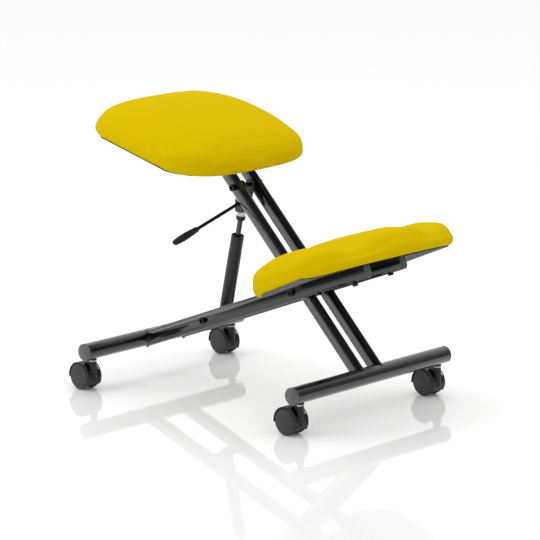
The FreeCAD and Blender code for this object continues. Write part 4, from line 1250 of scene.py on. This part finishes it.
@dataclass(frozen=True)
class Studio:
    """White floor, soft lamps, a pale surround and the camera."""

    softboxes: tuple[Lamp, ...] = (
        Lamp("overhead", (0.2, 0.4, 3.2), 2.6, 2.6, 26.0),
        Lamp("left_rear", (-3.0, 3.0, 1.3), 2.2, 2.2, 30.0),
    )
    aim: tuple[float, float, float] = (0.0, 0.0, 0.25)
    floor_reach: float = 60.0
    fill: float = 1.0
    # gloss sees a bright backdrop in this direction and a dark room elsewhere
    backdrop: tuple[float, float, float] = (0.70, 0.70, 0.0)
    backdrop_from: float = -0.1
    backdrop_to: float = 0.55
    gloss_dark: float = 0.1
    gloss_bright: float = 1.15
    # camera, fitted to the photograph, in degrees, metres and millimetres of lens
    azimuth: float = 42.457
    elevation: float = 11.871
    roll: float = -0.496
    distance: float = 5.9778
    lens: float = 215.72
    sensor: float = 36.0
    far: float = 100.0
    target: tuple[float, float, float] = (0.00779, 0.00571, 0.23423)

    def floor(self, workshop: Workshop) -> None:
        """Makes the white floor.

        Args:
            workshop: Source of materials.
        """
        size = self.floor_reach
        corners = [(-size, -size, 0), (size, -size, 0), (size, size, 0), (-size, size, 0)]
        made = mesh_object("studio_floor", corners, [(0, 1, 2, 3)])
        workshop.dress(made, FLOOR)

    def lamps(self) -> None:
        """Makes the softboxes."""
        for lamp in self.softboxes:
            data = bpy.data.lights.new(lamp.name, "AREA")
            data.shape = "RECTANGLE"
            data.size, data.size_y = lamp.width, lamp.height
            data.energy = lamp.watts
            made = bpy.data.objects.new(lamp.name, data)
            made.location = lamp.place
            made.rotation_mode = "QUATERNION"
            made.rotation_quaternion = (Vector(self.aim) - made.location).to_track_quat("-Z", "Y")
            bpy.context.scene.collection.objects.link(made)

    def surround(self) -> None:
        """Makes the world: plain white to the camera, and pale grey to everything else."""
        world = bpy.data.worlds.new("studio_surround")
        bpy.context.scene.world = world
        world.use_nodes = True
        graph = NodeGraph(world.node_tree)
        white = (1.0, 1.0, 1.0, 1.0)
        path = graph.add("ShaderNodeLightPath")
        seen = graph.add("ShaderNodeBackground", Color=white, Strength=1.0)
        giving = graph.add("ShaderNodeBackground", Color=white, Strength=self.fill)
        place = graph.add("ShaderNodeTexCoord")
        facing = graph.add("ShaderNodeVectorMath", {"operation": "DOT_PRODUCT"},
                           i0=place.outputs["Generated"], i1=self.backdrop)
        falloff = graph.add(
            "ShaderNodeMapRange", {"interpolation_type": "SMOOTHSTEP"}, Value=facing.outputs["Value"],
            From_Min=self.backdrop_from, From_Max=self.backdrop_to,
            To_Min=self.gloss_dark, To_Max=self.gloss_bright,
        )
        mirrored = graph.add("ShaderNodeBackground", Strength=falloff.outputs["Result"])
        by_gloss = graph.add("ShaderNodeMixShader", i0=path.outputs["Is Glossy Ray"],
                             i1=giving.outputs["Background"], i2=mirrored.outputs["Background"])
        mix = graph.add("ShaderNodeMixShader", i0=path.outputs["Is Camera Ray"],
                        i1=by_gloss.outputs["Shader"], i2=seen.outputs["Background"])
        graph.add("ShaderNodeOutputWorld", Surface=mix.outputs["Shader"])

    def camera(self) -> None:
        """Makes the camera at the photograph's viewing angle."""
        data = bpy.data.cameras.new("camera")
        data.lens = self.lens
        data.sensor_width = self.sensor
        data.clip_end = self.far
        azimuth, elevation = math.radians(self.azimuth), math.radians(self.elevation)
        ahead = Vector((math.cos(azimuth) * math.cos(elevation), math.sin(azimuth) * math.cos(elevation),
                        -math.sin(elevation)))
        made = bpy.data.objects.new("camera", data)
        right = ahead.cross(Vector((0, 0, 1))).normalized()
        up = right.cross(ahead)
        roll = math.radians(self.roll)
        tilted_right = right * math.cos(roll) + up * math.sin(roll)
        tilted_up = up * math.cos(roll) - right * math.sin(roll)
        turn = Matrix((tilted_right, tilted_up, -ahead)).transposed()
        made.matrix_world = Matrix.Translation(Vector(self.target) - ahead * self.distance) @ turn.to_4x4()
        bpy.context.scene.collection.objects.link(made)
        bpy.context.scene.camera = made

    def build(self, workshop: Workshop) -> None:
        """Makes the whole studio.

        Args:
            workshop: Source of materials.
        """
        self.floor(workshop)
        self.lamps()
        self.surround()
        self.camera()
        scene = bpy.context.scene
        scene.view_settings.view_transform = "Standard"
        LOG.info("studio: %d lamps", len(self.softboxes))


def main() -> None:
    """Builds the looks in order."""
    logging.basicConfig(level=logging.INFO, format="%(name)s: %(message)s")
    for stray in list(bpy.data.objects):
        bpy.data.objects.remove(stray)
    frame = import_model()
    plan = ChairPlan()
    workshop = Workshop()
    Hardware(frame).dress(workshop)
    seat_size = CushionSize(half_width=190.0, half_depth=158.0, corner=3.3, rim=22.4, crown=42.0,
                            crown_power=4.7, end_fall=0.25, end_rise=0.35)
    seat = Cushion("seat_upholstery", "seat_cushion", "seat_board", "seat_frame", seat_size,
                   plan.seat_place())
    seat.build(workshop)
    pad_size = CushionSize(half_width=206.0, half_depth=129.0, corner=3.0, rim=25.0, crown=27.0,
                           crown_power=7.6, end_fall=0.25, end_rise=0.3)
    pad = KneePad("knee_upholstery", "knee_cushion", "knee_board", "knee_frame", pad_size,
                  plan.pad_place())
    pad.build(workshop)
    FrameTubes(plan).build(workshop)
    WeldBeads(plan).build(workshop)
    Studio().build(workshop)


if __name__ == "__main__":
    main()
